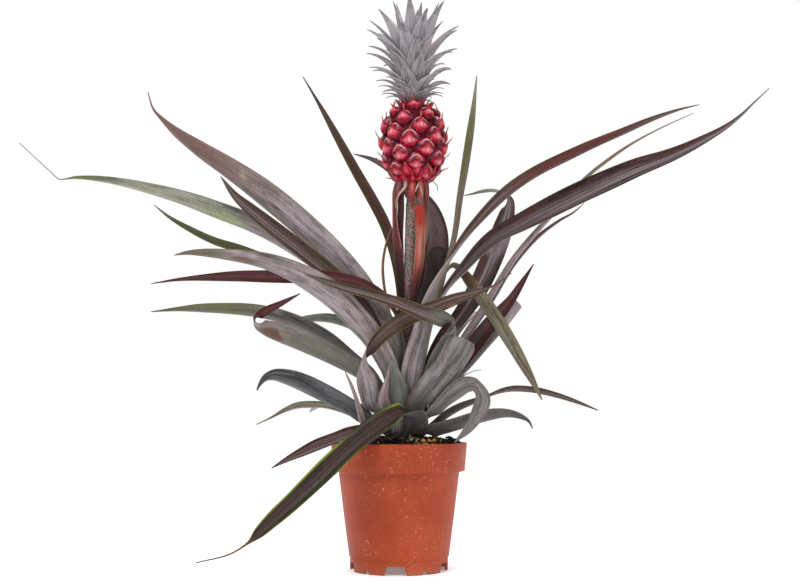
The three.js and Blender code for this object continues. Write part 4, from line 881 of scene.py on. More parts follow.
class Patch:
    """Points, faces, slots and paint gathered for one object."""

    def __init__(self):
        self.points, self.faces, self.slots, self.paints = [], [], [], []

    def add(self, points, faces, slots, paints):
        """Adds a shape whose faces count its own points."""
        base = len(self.points)
        self.points += points
        self.faces += [tuple(corner + base for corner in face) for face in faces]
        self.slots += slots
        self.paints += paints

    def grid(self, rows, slot, paint, closed=False):
        """Adds a grid of points. paint gives a point's paint from its row and column, as shares."""
        wide = len(rows[0])
        faces = grid_faces(len(rows), wide, closed)
        paints = [paint(r / (len(rows) - 1), c / (wide - 1)) for r in range(len(rows)) for c in range(wide)]
        self.add([point for row in rows for point in row], faces, [slot] * len(faces), paints)

    def solid(self, shape, slot):
        """Adds ready points and faces, unpainted."""
        points, faces = shape
        self.add(points, faces, [slot] * len(faces), [UNPAINTED] * len(points))

    def blade(self, points, faces, paints):
        """Adds rings of points round a blade. Slot 0 is its upper face and slot 1 the rest, caps too."""
        wide = len(BLADE_LOOP)
        slots = [0 if k < ACROSS_STEPS else 1 for k in range(wide)] * (len(points) // wide - 1)
        self.add(points, faces, slots + [1, 1], paints)

    def build(self, name, materials):
        made = mesh_object(name, self.points, self.faces, materials, self.slots)
        layer = made.data.color_attributes.new("Paint", "FLOAT_COLOR", "POINT")
        layer.data.foreach_set("color", [value for paint in self.paints for value in paint])
        return made


# Blades
def seen(across, up, behind):
    """The place of a point that the front view shows at this place, that far behind the stem's plane."""
    point = Vector((across, 0, up)) - VIEWER
    return point * ((VIEW_DISTANCE + behind) / VIEW_DISTANCE) + VIEWER


def standing(x, y, z):
    return Vector((x, y, z))


def towards_viewer(point):
    return (VIEWER - point).normalized()


def straight_up(point):
    return Vector((0, 0, 1))


def up_and_back(point):
    return Vector((0, 1, 1)).normalized()


def away_from_collar(point):
    return Vector((point.x - COLLAR_X, point.y - FRUIT_Y, 0.001)).normalized()


def neighbours(points, i):
    before = points[i - 1] if i else points[0] * 2 - points[1]
    after = points[i + 2] if i + 2 < len(points) else points[-1] * 2 - points[-2]
    return before, points[i], points[i + 1], after


def cubic(start, end, leave, arrive, w):
    return (
        start + leave * w + (end * 3 - start * 3 - leave * 2 - arrive) * w ** 2
        + (start * 2 - end * 2 + leave + arrive) * w ** 3
    )


def span_at(rows, share):
    """The span that holds a share from 0 to 1, which counts the spans evenly, and the place in it."""
    reach = min(max(share, 0), 1) * (len(rows) - 1)
    i = min(int(reach), len(rows) - 2)
    return i, reach - i


def smooth_midline(points, share):
    """A centripetal curve through the points."""
    i, w = span_at(points, share)
    p0, p1, p2, p3 = neighbours(points, i)
    d0, d1, d2 = [max((b - a).length, 1e-6) ** 0.5 for a, b in ((p0, p1), (p1, p2), (p2, p3))]
    leave = ((p1 - p0) / d0 - (p2 - p0) / (d0 + d1) + (p2 - p1) / d1) * d1
    arrive = ((p2 - p1) / d1 - (p3 - p1) / (d1 + d2) + (p3 - p2) / d2) * d1
    return cubic(p1, p2, leave, arrive, w)


def smooth_values(rows, share):
    i, w = span_at(rows, share)
    p0, p1, p2, p3 = neighbours(rows, i)
    return cubic(p1, p2, (p2 - p0) / 2, (p3 - p1) / 2, w)


def blade_directions(point, run, reference):
    facing = reference(point)
    facing = (facing - run * facing.dot(run)).normalized()
    return facing, run.cross(facing)


def run_at(points, share):
    step = 1e-3
    return (smooth_midline(points, share + step) - smooth_midline(points, share - step)).normalized()


def row_fold(row):
    return math.radians(row[5]) if len(row) > 5 else LEAF_FOLD


def blade_stations(start, start_width, inward, start_fold, rows, place, reference):
    """Stations down a blade: its middle point, run, turn, width, fold and the distance so far."""
    points = [start] + [place(*row[:3]) for row in rows]
    facing, right = blade_directions(start, run_at(points, 0.0), reference)
    turn = math.atan2(inward.dot(right), inward.dot(facing))
    turn += math.tau * round((math.radians(rows[0][4]) - turn) / math.tau)
    values = [Vector((start_width, turn, start_fold))]
    values += [Vector((row[3], math.radians(row[4]), row_fold(row))) for row in rows]
    steps = len(rows) * STEPS_PER_ROW
    stations = []
    distance = 0
    for i in range(steps + 1):
        share = i / steps
        point = smooth_midline(points, share)
        if stations:
            distance += (point - stations[-1][0]).length
        width, angle, fold = smooth_values(values, share)
        stations.append((point, run_at(points, share), angle, max(width, LEAST_WIDTH), fold, distance))
    return stations


def clasping_stations(middle, radius, root, rows, place, reference):
    """The stations of a blade whose root clasps a stem of this middle point and radius."""
    direction, _, width = root
    outward = around(math.radians(direction))[0]
    start = middle + outward * (radius + BLADE_GAP)
    return blade_stations(start, width, -outward, clasp_fold(width, radius), rows, place, reference)


def clasp_fold(width, radius):
    return math.asin(min(0.9, width / 2 / (radius + 1)))


def paint_at(marks, share, side):
    """The paint of a leaf's marks at a share of its length and a side from -1 to 1."""
    paint = UNPAINTED
    for (middle, reach), (across, spread), code in marks:
        near = 1 - ((share - middle) / reach) ** 2 - ((side - across) / spread) ** 2
        if near > paint[3]:
            paint = painted(code, near)
    return paint


def blade_object(name, stations, reference, faces_look, marks=(), ripple=0.25, seed=0.0):
    """A closed blade with a smooth channelled section. faces_look is its upper and under material."""
    points, places, paints = [], [], []
    length = stations[-1][5]
    for point, run, turn, width, fold, distance in stations:
        facing, right = blade_directions(point, run, reference)
        upper = facing * math.cos(turn) + right * math.sin(turn)
        outward = run.cross(upper)
        half = width / 2
        rise = half * math.tan(fold / 2)
        crown = BLADE_THICKNESS * min(1, 0.45 + width / FULL_WIDTH) - MARGIN_THICKNESS
        for side, face in BLADE_LOOP:
            thick = MARGIN_THICKNESS + crown * (1 - side ** 2)
            wave = ripple * side * min(width / FULL_WIDTH, 1)
            wave *= math.sin(distance / 13 + side * 1.3 + seed * 40)
            lift = rise * (side ** 2 - 0.5) + wave + face * thick / 2
            points.append(point + outward * (side * half) + upper * lift)
            places.append(((side + 1) / 2, distance / 100 + seed * 10))
            paints.append(paint_at(marks, distance / length, side))
    patch = Patch()
    patch.blade(points, ring_faces(len(stations), len(BLADE_LOOP)), paints)
    made = patch.build(name, faces_look)
    add_blade_map(made.data, places)
    return made


def add_leaf(name, root, rows, place, reference, materials, number):
    height = root[1]
    middle = Vector((STEM_X, 0, height))
    radius = interpolate(STEM_PROFILE, height)
    stations = clasping_stations(middle, radius, root, rows, place, reference)
    upper, under, marks = LOOKS.get(name, PLAIN)
    faces_look = [materials[upper], materials[under]]
    made = blade_object(name + "_fine", stations, reference, faces_look, marks, seed=wobble(number, 5))
    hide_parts(name)


def add_leaves(materials):
    for number, leaf in enumerate(LEAVES):
        add_leaf(*leaf, seen, towards_viewer, materials, number)
    add_leaf(*OVERHANGING_LEAF, seen, up_and_back, materials, len(LEAVES))
    for number, leaf in enumerate(BACK_LEAVES):
        add_leaf(*leaf, standing, straight_up, materials, number + 50)


# Stem, stalk and bracts
def stalk_material():
    tree = Tree("stalk", {"Roughness": 0.72})
    place = tree.place()
    scurf = tree.noise(place, 700, 3, 0.7)
    patches = tree.noise(place, 160, 3, 0.6)
    pale = tree.mix(tree.ramp(scurf, 0.4, 0.62), "4c4039", "9a8c80")
    pale = tree.mix(tree.ramp(patches, 0.55, 0.7), pale, "a2586a")
    purple = tree.mix(tree.ramp(scurf, 0.4, 0.65), "3c2428", "7a5558")
    rise = tree.plus(tree.split(place)[2], tree.times(patches, 0.03))
    colour = tree.mix(tree.ramp(rise, 0.255, 0.285), purple, pale)
    spots = tree.ramp(tree.noise(place, 330, 2, 0.5), 0.66, 0.7, 0, 0.9)
    tree.drive("Base Color", tree.mix(spots, colour, "1c1614"))
    tree.bump(scurf, 0.0012, 0.8)
    return tree.material


def sheath_material():
    """Leaf bases: grey-green, mottled, darker and browner near the soil."""
    tree = Tree("leaf_sheath", {})
    place = tree.place()
    streaks = tree.noise(tree.stretched(place, (420, 420, 60)), 1, 3, 0.6)
    colour = tree.mix(tree.ramp(streaks, 0.35, 0.68), "2e2d2a", "6a6a62")
    blotches = tree.noise(place, 170, 3, 0.65)
    colour = tree.mix(tree.ramp(blotches, 0.56, 0.7, 0, 0.75), colour, "2b211c")
    soil = tree.ramp(tree.plus(tree.split(place)[2], tree.times(blotches, 0.01)), 0.128, 0.119)
    tree.drive("Base Color", tree.mix(soil, colour, "2a1f17"))
    tree.drive("Roughness", tree.ramp(streaks, 0.3, 0.7, 0.5, 0.68))
    tree.bump(streaks, 0.0008, 0.7)
    return tree.material


def add_sheath(patch, direction, height, width):
    """The base of a leaf, which clasps the stem from the leaf's root down to the soil."""
    bottom = max(height - SHEATH_LENGTH, SHEATH_BOTTOM)
    top = height + SHEATH_ABOVE_ROOT
    rows = []
    for i in range(SHEATH_STEPS + 1):
        share = i / SHEATH_STEPS
        up = top - (top - bottom) * share
        radius = interpolate(STEM_PROFILE, up) + SHEATH_DEPTH + SHEATH_BULGE * math.sin(math.pi * share)
        half = clasp_fold(width, radius) * (1 + SHEATH_SPREAD * share)
        middle = Vector((STEM_X, 0, up))
        outer, inner = [], []
        for side in SIDES:
            out = around(math.radians(direction) + half * side)[0]
            outer.append(middle + out * (radius + SHEATH_MIDDLE * (1 - side ** 2)))
            inner.append(middle + out * (radius - SHEATH_DEPTH))
        rows.append(outer + inner[::-1])
    patch.grid(rows, 1, unpainted, closed=True)


def add_stem(materials):
    stalk = [Vector(point) for point in STALK_PATH]
    path = [smooth_midline(stalk, i / STALK_STEPS) for i in range(STALK_STEPS + 1)]
    radii = [STALK_RADIUS * (1 + 0.07 * noise.noise(point * 0.12)) - 0.1 for point in path]
    stump = [Vector((STEM_X, 0, height)) for _, height in STEM_PROFILE]
    patch = Patch()
    patch.solid(tube(path, radii, STALK_SIDES), 0)
    patch.solid(tube(stump, [radius - 0.3 for radius, _ in STEM_PROFILE], STUMP_SIDES), 2)
    for _, root, _ in LEAVES + BACK_LEAVES + [OVERHANGING_LEAF]:
        add_sheath(patch, *root)
    made = patch.build("stem_fine", [stalk_material(), sheath_material(), materials["grey_dark"]])
    add_blade_map(made.data, [(point.x / 40, point.z / 100) for point in patch.points])
    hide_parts("stem")


def stalk_point(height):
    for (x0, y0, z0), (x1, y1, z1) in zip(STALK_PATH, STALK_PATH[1:]):
        if height <= z1:
            share = (height - z0) / (z1 - z0)
            return Vector((x0 + (x1 - x0) * share, y0 + (y1 - y0) * share, height))
    return Vector((FRUIT_X, FRUIT_Y, height))


def add_bracts(looks):
    for number, (name, root, rows) in enumerate(STALK_BRACTS):
        middle = stalk_point(root[1])
        stations = clasping_stations(middle, STALK_RADIUS, root, rows, seen, towards_viewer)
        look, marks = BRACT_LOOKS[name]
        faces_look = [looks[look], looks[look]]
        seed = wobble(number, 8)
        made = blade_object(name + "_fine", stations, towards_viewer, faces_look, marks, 0.12, seed)
        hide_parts(name)


def collar_rows(start, outward, length, lean):
    """The midline of a short bract under the fruit, as it leans out more and more."""
    tilt = math.radians(lean)
    rows = []
    for i in range(1, COLLAR_STEPS + 1):
        share = i / COLLAR_STEPS
        reach = (length + 3) * share
        out = outward * (reach * math.sin(tilt) * share ** 0.6)
        point = start + out + Vector((0, 0, reach * math.cos(tilt * share)))
        rows.append((*point, COLLAR_WIDTH * (1 - share) ** 0.8 + COLLAR_TIP, 180))
    return rows


def add_collar(looks):
    """The short bracts under the fruit, and the ones that hang out of them."""
    middle = Vector((COLLAR_X, FRUIT_Y, COLLAR_HEIGHT))
    objects = []
    for number, (direction, length, lean) in enumerate(COLLAR_BRACTS):
        outward = around(math.radians(direction))[0]
        start = middle + outward * (STALK_RADIUS + 0.8)
        rows = collar_rows(start, outward, length, lean)
        stations = blade_stations(start, 5, -outward, 0.7, rows, standing, away_from_collar)
        look = looks["inner"] if number % 3 else looks["red"]
        name = "collar_%d" % number
        objects.append(blade_object(name, stations, away_from_collar, [look, look], (), 0.1, 0.1 * number))
    for number, (look, place, width, rows, marks) in enumerate(HANGING_BRACTS):
        stations = blade_stations(seen(*place), width, Vector((0, 1, 0)), 0.5, rows, seen, towards_viewer)
        name = "collar_hanging_%d" % number
        faces_look = [looks[look], looks[look]]
        objects.append(blade_object(name, stations, towards_viewer, faces_look, marks, 0.05, 0.2 * number))
    made = merged("fruit_collar_fine", objects)
    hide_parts("fruit_collar")


def merged(name, objects):
    """One object that holds the meshes of several."""
    bpy.ops.object.select_all(action="DESELECT")
    for piece in objects:
        piece.select_set(True)
    bpy.context.view_layer.objects.active = objects[0]
    bpy.ops.object.join()
    made = bpy.context.view_layer.objects.active
    made.name = name
    made.data.name = name
    return made


# Fruit
def flesh_material(name, dark, light, vein, roughness, scale, coat):
    tree = Tree(name, {
        "Roughness": roughness, "Coat Weight": coat, "Coat Roughness": 0.08, "Specular IOR Level": 0.08,
        "Subsurface Weight": 0.08, "Subsurface Scale": 0.002,
    })
    place = tree.place()
    cloud = tree.noise(place, scale, 4, 0.65)
    paint, strength = tree.paint()
    colour = tree.mix(tree.ramp(cloud, 0.36, 0.66), dark, light)
    colour = tree.mix(strength, colour, paint)
    veins = tree.noise(place, scale * 4, 2, 0.6)
    tree.drive("Base Color", tree.mix(tree.ramp(veins, 0.6, 0.75, 0, 0.4), colour, vein))
    tree.bump(veins, 0.0006, 0.6)
    return tree.material


def spine_material():
    tree = Tree("fruit_spine", {"Roughness": 0.6})
    tree.drive("Base Color", tree.mix(tree.noise(tree.place(), 500, 2, 0.6), "6a2a24", "b8894c"))
    return tree.material


def eye_frame(index):
    """Where an eye of the fruit sits, its own directions, and its size against the largest."""
    height = EYE_START_HEIGHT + EYE_RISE * index
    share = index / (EYE_COUNT - 1)
    size = 1 - 0.62 * abs(share - EYE_LARGEST) ** 1.3
    tilt = (share - EYE_LEVEL) * 1.7
    radial, side = around(math.radians(EYE_START_ANGLE) + GOLDEN_ANGLE * index)
    out = radial * math.cos(tilt) + Vector((0, 0, math.sin(tilt)))
    middle = Vector((FRUIT_X, FRUIT_Y, height)) + radial * interpolate(FRUIT_CORE, height)
    return middle, side, out.cross(side), out, size


def eye_lift(reach):
    """How far the dome of an eye stands out, from 0 in its middle to 1 in the groove round it."""
    return EYE_DOME * max(0, 1 - min(reach, 1) ** 2.6) ** 0.8 - EYE_GROOVE


def dome_paint(along, across):
    """Painted shade: dark in the groove round the dome and above its ridge. Painted highlight: a pale line
    below the ridge's fold.
    """
    # Painted shade in the groove round the dome.
    if along > 0.78:
        return painted("34000e", (along - 0.78) * 5)
    upper = max(0, math.sin(math.tau * across)) ** 0.6
    # Painted shade along the ridge's fold.
    groove = bell(along, EYE_RIDGE, 0.07) * upper
    if groove > 0.3:
        return painted("34000e", groove)
    # Painted highlight below the ridge's fold.
    return painted("f0a0aa", 0.9 * upper * bell(along, 0.6, 0.07))


def add_eye_dome(patch, middle, side, rise, out, size, number):
    """A glossy dome, with a low ridge across it, in a groove darkened by painted shade."""
    rows = []
    for r in range(EYE_RINGS + 1):
        share = r / EYE_RINGS
        row = []
        for c in range(EYE_SPOKES):
            angle = math.tau * c / EYE_SPOKES
            square = 1 + 0.05 * math.cos(4 * angle)
            across = EYE_HALF_WIDTH * share * math.cos(angle) * square
            up = EYE_HALF_HEIGHT * share * math.sin(angle) * square + EYE_MIDDLE
            fold = 1.3 * bell(share, EYE_RIDGE, 0.1) * max(0, math.sin(angle)) ** 0.5
            dent = 0.5 * math.sin(3 * angle + number) * bell(share, 0.3, 0.16)
            lift = eye_lift(share) - fold - dent
            row.append(middle + (side * across + rise * up + out * lift) * size)
        rows.append(row)
    patch.grid(rows, 0, dome_paint, closed=True)


def eye_bract_paint(along, across):
    """Pale and veined in the middle, where the bract's own pink carries a painted highlight, red at the rims,
    dark at the foot as painted shade in the groove, and dry at the tip.
    """
    x = abs(across * 2 - 1)
    if along > 0.88:
        return painted("8a5030", (along - 0.88) * 10, 0.9)
    rim = max(x ** 4 * (0.4 + along), (along - 0.62) * 3)
    if rim > 0.3:
        return painted("a40620", (rim - 0.3) * 2.5, 0.95)
    # Painted shade where the bract's foot dips into the groove.
    if along < 0.2:
        return painted("3c0210", 1 - along / 0.2)
    # The bract's own pale pink, brightened into a painted highlight.
    vein = 0.75 + 0.25 * math.cos(x * 12)
    return painted("f0a0ac", 0.85 * bell(along, 0.42, 0.2) * (1 - x ** 0.8) * vein)


def add_eye_bract(patch, middle, side, rise, out, size, number):
    """A shield-like pink bract over the lower half of the eye, whose tip carries the spine."""
    rows = []
    lean = between(-0.7, 0.7, number, 4)
    for r in range(EYE_BRACT_ROWS + 1):
        up = EYE_BRACT_OUTLINE[0][1] + EYE_BRACT_HEIGHT * r / EYE_BRACT_ROWS
        half = interpolate(EYE_BRACT_OUTLINE, up)
        tip = max(0, up) / EYE_BRACT_OUTLINE[-1][1]
        row = []
        for c in range(EYE_BRACT_COLUMNS + 1):
            across = 2 * c / EYE_BRACT_COLUMNS - 1
            x = half * across
            reach = math.hypot(x / EYE_HALF_WIDTH, (up - EYE_MIDDLE) / EYE_HALF_HEIGHT)
            lift = eye_lift(reach) + 0.9 + 4.2 * tip ** 1.4
            lift -= 0.5 * across ** 4 + (0.8 if r == 0 else 0)
            lift += 0.3 * math.cos(across * 9) * (1 - tip) + 0.9 * (1 - abs(across)) * (1 - tip)
            row.append(middle + (side * (x + lean * tip) + rise * up + out * lift) * size)
        rows.append(row)
    patch.grid(rows, 1, eye_bract_paint)
    add_spine(patch, rows[-1][EYE_BRACT_COLUMNS // 2], side, rise, out, size, number)


def add_spine(patch, tip, side, rise, out, size, number):
    """The dried spine on a bract's tip, which curves upward."""
    length = size * between(3, 5.5, number, 6)
    bend = between(-1.5, 1.5, number, 7)
    path, radii = [], []
    for i in range(SPINE_STEPS + 1):
        share = i / SPINE_STEPS
        point = tip + out * (length * 0.5 * share - 0.5) + side * (bend * share ** 1.5)
        path.append(point + rise * (length * (0.25 * share + 0.6 * share ** 2) - 0.6))
        radii.append(0.75 * (1 - 0.8 * share))
    patch.solid(tube(path, radii, 6), 2)


def small_bract_paint(greyness):
    """The paint of a small bract, pink between its red edges or, by its greyness, grey all over."""
    def paint(along, across):
        x = abs(across * 2 - 1)
        if along > 0.8:
            return painted("7a4a38", (along - 0.8) * 6)
        if greyness:
            return painted("7c6068", greyness)
        if x > 0.45 or along < 0.3:
            return painted("74061a", max(0.9 * x ** 2, 0.9 - 3 * along))
        return painted("cc6070", 0.6 * bell(along, 0.55, 0.16) * (1 - x))

    return paint


def add_small_bract(patch, angle, out, up, length, width, lean, curl, greyness=0):
    """A cupped, pointed bract of the rings above and below the eyes, on the fruit's own axis."""
    radial, side = around(angle)
    rows = []
    for r in range(SMALL_BRACT_STEPS + 1):
        share = r / SMALL_BRACT_STEPS
        slope = math.radians(lean + curl * share ** 1.5)
        half = width / 2 * interpolate(SMALL_BRACT_WIDTHS, share)
        middle = Vector((FRUIT_X, FRUIT_Y, up)) + radial * out
        outward = radial * math.cos(slope) - Vector((0, 0, math.sin(slope)))
        row = []
        for across in SMALL_BRACT_SIDES:
            row.append(middle + side * (half * across) + outward * (0.25 * half * (1 - across ** 2)))
        rows.append(row)
        out += math.sin(slope) * length / SMALL_BRACT_STEPS
        up += math.cos(slope) * length / SMALL_BRACT_STEPS
    patch.grid(rows, 1, small_bract_paint(greyness))


def add_small_bracts(patch):
    """The rings of shallow bracts under the fruit, and the spiky ones between its last eyes and the crown."""
    for number in range(LOWER_BRACTS):
        angle = math.tau * (number + 0.4 * wobble(number, 61)) / LOWER_BRACTS
        length, width = between(17, 23, number, 62), between(9, 14, number, 67)
        add_small_bract(patch, angle, 5.5, 350.4, length, width, 84, between(-34, -58, number, 63))
        angle += math.pi / LOWER_BRACTS
        length = between(15, 19, number, 68)
        add_small_bract(patch, angle, 13, 353, length, width + 1, 64, between(-44, -54, number, 69))
    for number in range(UPPER_BRACTS):
        angle = math.tau * (number + 0.5 * wobble(number, 64)) / UPPER_BRACTS
        out, up, greyness = UPPER_TIERS[number % len(UPPER_TIERS)]
        length, lean = between(7.5, 10.5, number, 65), between(24, 38, number, 66)
        add_small_bract(patch, angle, out, up, length, 5.6, lean, 46, greyness)


def add_fruit():
    materials = [
        flesh_material("fruit_eye", "3c0010", "860c2a", "a83850", 0.28, 260, 0.3),
        flesh_material("fruit_bract", "7a0218", "b80a2e", "d8485f", 0.36, 300, 0.12),
        spine_material(),
        flesh_material("fruit_core", "3a0410", "6a0a1e", "7c1428", 0.6, 200, 0),
    ]
    patch = Patch()
    profile = [(1, FRUIT_BOTTOM)] + FRUIT_CORE + [(0.5, FRUIT_TOP)]
    rows = [ring(Vector((FRUIT_X, FRUIT_Y, height)), radius, FRUIT_SIDES) for radius, height in profile]
    patch.grid(rows, 3, unpainted, closed=True)
    for number in range(EYE_COUNT - EYES_UNDER_CROWN):
        place = eye_frame(number)
        add_eye_dome(patch, *place, number)
        add_eye_bract(patch, *place, number)
    add_small_bracts(patch)
    made = patch.build("fruit_fine", materials)
    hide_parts("fruit")


# Crown
def crown_materials():
    return [
        # The upper faces are darker than the undersides: partly their own colour, partly painted shade of the
        # channel.
        blade_material("crown_upper", 0.6, 0.12, "352d32", "736b70", "8f868b", 0.04, "5c5157"),
        blade_material("crown_under", 0.62, 0.25, "51484d", "a69ea3", "b8afb5", 0.04, "857b80"),
    ]


def crown_leaf_rows(index):
    """The midline of a crown leaf: (out, up, slope, width) from its root to its tip."""
    share = max(index, 0) / (CROWN_LEAVES - 1)
    up = CROWN_BASE + CROWN_RISE * share ** 1.1 - (1.2 if index < 0 else 0)
    out = interpolate(CROWN_CORE, up) - 2
    length = interpolate(CROWN_LENGTHS, share) * between(0.93, 1.07, index, 1)
    width = interpolate(CROWN_WIDTHS, share)
    curl = interpolate(CROWN_CURLS, share)
    lean = interpolate(CROWN_LEANS, share) + between(-4, 4, index, 2)
    high = min(1, share / 0.7)
    rows = []
    for i in range(CROWN_LEAF_STEPS + 1):
        along = i / CROWN_LEAF_STEPS
        slope = math.radians(lean + curl * along ** 1.6)
        form = interpolate(CROWN_LOW_FORM, along) * (1 - high) + interpolate(CROWN_HIGH_FORM, along) * high
        rows.append((out, up, slope, max(0.45, width * form)))
        out += math.sin(slope) * length / CROWN_LEAF_STEPS
        up += math.cos(slope) * length / CROWN_LEAF_STEPS
    return rows


def crown_paint(share, along):
    """Tips are darker and high leaves paler. Low leaves are reddish, and so are the roots above them."""
    if along > 0.8:
        return painted("5c4a54", (along - 0.8) * 4, 0.7)
    if share > 0.4:
        return painted("b4adb4", (share - 0.4) * 1.5, 0.55)
    red = max(0, 1 - share / 0.2) * 0.3 + max(0, 1 - share / 0.5) * max(0, 1 - along / 0.35) * 0.3
    return painted("8c6870", red, 0.5)


def add_crown_leaf(patch, places, index):
    share = max(index, 0) / (CROWN_LEAVES - 1)
    angle = math.radians(CROWN_START_ANGLE) - GOLDEN_ANGLE * index + between(-0.15, 0.15, index, 3)
    radial, tangent = around(angle)
    points, paints = [], []
    for i, (out, up, slope, width) in enumerate(crown_leaf_rows(index)):
        middle = Vector((CROWN_X, FRUIT_Y, up)) + radial * out
        upper = Vector((0, 0, 1)) * math.sin(slope) - radial * math.cos(slope)
        for side, face in BLADE_LOOP:
            lift = width * 0.2 * (side ** 2 - 0.5) + face * (0.3 - 0.16 * side ** 2)
            points.append(middle + tangent * (side * width / 2) + upper * lift)
            places.append(((side + 1) / 2, i / 24 + index * 0.37))
            paints.append(crown_paint(share, i / CROWN_LEAF_STEPS))
    patch.blade(points, turned(ring_faces(CROWN_LEAF_STEPS + 1, len(BLADE_LOOP))), paints)


def add_crown():
    patch = Patch()
    places = []
    for index in range(-CROWN_BASE_LEAVES, CROWN_LEAVES):
        add_crown_leaf(patch, places, index)
    core_path = [Vector((CROWN_X, FRUIT_Y, height)) for _, height in CROWN_CORE]
    core = tube(core_path, [radius for radius, _ in CROWN_CORE], CROWN_CORE_SIDES)
    places += [(0.5, point.z / 100) for point in core[0]]
    patch.solid(core, 1)
    made = patch.build("crown_fine", crown_materials())
    add_blade_map(made.data, places)
    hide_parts("crown")


# Pot
def pot_material():
    """Terracotta coloured plastic with pale specks, more of them near the rim, and faint scuffs."""
    tree = Tree("pot_plastic", {"Specular IOR Level": 0.2})
    place = tree.place()
    up = tree.split(place)[2]
    cloud = tree.noise(place, 14, 3, 0.6)
    colour = tree.mix(tree.ramp(cloud, 0.35, 0.7), "8f3519", "a34423")
    grime = tree.noise(tree.stretched(place, (45, 45, 12)), 1, 4, 0.65)
    colour = tree.mix(tree.ramp(grime, 0.52, 0.72, 0, 0.35), colour, "7c2f1c")
    near_rim = tree.ramp(up, 0.07, 0.108, 0.0, 0.035)
    specks = tree.plus(tree.noise(place, 640, 4, 0.72), near_rim)
    dusty = tree.times(tree.noise(place, 26, 4, 0.65), 0.26)
    colour = tree.mix(tree.ramp(tree.plus(specks, dusty), 0.785, 0.835, 0, 0.75), colour, "d9c2b2")
    scratched = tree.ramp(tree.noise(place, 42, 3, 0.6), 0.6, 0.7)
    scratch = tree.noise(tree.stretched(place, (70, 70, 900)), 1, 3)
    scuffs = tree.times(scratched, tree.ramp(scratch, 0.55, 0.68, 0, 0.35))
    colour = tree.mix(scuffs, colour, "c89884")
    foot = tree.ramp(tree.plus(up, tree.times(grime, 0.008)), 0.014, 0.004, 0, 0.2)
    tree.drive("Base Color", tree.mix(foot, colour, "b4836c"))
    tree.drive("Roughness", tree.ramp(cloud, 0.3, 0.7, 0.42, 0.58))
    tree.bump(tree.noise(place, 900, 2, 0.5), 0.0002, 0.35)
    return tree.material


def pot_profile():
    """The turned section of the pot, from the underside of its floor round its outside to the inside."""
    foot, body, rim = POT_FOOT_RADIUS, POT_BODY_TOP_RADIUS, POT_RIM_RADIUS
    shoulder = POT_HEIGHT - POT_RIM_DEPTH
    return [
        (foot - 3.2, 9), (foot - 2.4, 8.4), (foot - 2.3, 0.5), (foot - 1.9, 0), (foot - 0.6, 0),
        (foot - 0.1, 0.4), (foot, 1), (foot + 0.3, POT_FOOT_HEIGHT - 0.2), (foot + 0.5, POT_FOOT_HEIGHT),
        (foot + 0.95, POT_FOOT_HEIGHT + 0.25), (foot + 1.15, POT_FOOT_HEIGHT + 0.8), (49.6, 49),
        (body - 0.25, shoulder - 2), (body, shoulder - 0.8), (body + 0.5, shoulder - 0.3),
        (rim - 3.1, shoulder - 0.15), (rim - 2.4, shoulder + 0.1), (rim - 2.1, shoulder + 0.8),
        (rim - 0.15, POT_HEIGHT - 1.4), (rim - 0.2, POT_HEIGHT - 0.6), (rim - 0.6, POT_HEIGHT - 0.1),
        (rim - 1.2, POT_HEIGHT), (rim - 1.8, POT_HEIGHT - 0.2), (rim - 2.1, POT_HEIGHT - 0.8),
        (rim - 4.1, shoulder + 1.4), (body - 1.6, shoulder - 0.4), (foot - 0.4, 11.2), (foot - 2, 11),
    ]


def box_faces(base):
    """The faces of a box whose corners are numbered by x, then y, then z."""
    corners = [(0, 2, 3, 1), (4, 5, 7, 6), (0, 1, 5, 4), (2, 6, 7, 3), (0, 4, 6, 2), (1, 3, 7, 5)]
    return [tuple(base + corner for corner in face) for face in corners]


def notch_corners(direction, width, flare, height):
    """The corners of a cutter for a notch in the pot's foot, wider by the flare at each side below."""
    radial, side = around(math.radians(direction))
    ends = ((NOTCH_BOTTOM, width / 2 + flare), (height, width / 2))
    return [
        radial * out + side * (half * hand) + Vector((0, 0, up))
        for up, half in ends for hand in (-1, 1) for out in NOTCH_REACH
    ]


def notch_cutter():
    corners, faces = [], []
    for start in range(NOTCH_START, NOTCH_START + 360, NOTCH_STEP):
        for turn, width, flare, height in NOTCHES:
            faces += box_faces(len(corners))
            corners += notch_corners(start + turn, width, flare, height)
    return mesh_object("pot_notches", corners, faces, [])


def add_pot():
    points = []
    for radius, height in pot_profile():
        points += ring(Vector((0, 0, height)), radius, POT_SIDES)
    faces = ring_faces(len(pot_profile()), POT_SIDES)
    pot = mesh_object("pot_fine", points, faces, [pot_material()])
    cutter = notch_cutter()
    cut = pot.modifiers.new("notches", "BOOLEAN")
    cut.operation = "DIFFERENCE"
    cut.solver = "EXACT"
    cut.object = cutter
    settle(pot)
    bpy.data.objects.remove(cutter)
    soften(pot, 35)
    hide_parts("pot")


def settle(piece):
    """Turns an object's modifiers into its own mesh."""
    shown = piece.evaluated_get(bpy.context.evaluated_depsgraph_get())
    mesh = bpy.data.meshes.new_from_object(shown)
    piece.modifiers.clear()
    piece.data = mesh


def soften(piece, angle):
    """Smooth shading that keeps the edges sharper than the angle."""
    mesh = piece.data
    mesh.polygons.foreach_set("use_smooth", [True] * len(mesh.polygons))
    mesh.set_sharp_from_angle(angle=math.radians(angle))


# Soil
def soil_height(x, y):
    radius = math.hypot(x, y)
    rise = 0.9 * math.sin(x / 5.3 + 1) * math.cos(y / 6.1) + 0.7 * math.sin((x + y) / 3.7)
    rough = noise.noise(Vector((x, y, 0)) * 0.35) * 1.1 + noise.noise(Vector((x, y, 5)) * 1.1) * 0.7
    return interpolate(SOIL_HEAP, radius) + rise * min(1, (SOIL_RADIUS - radius) / 4) + rough


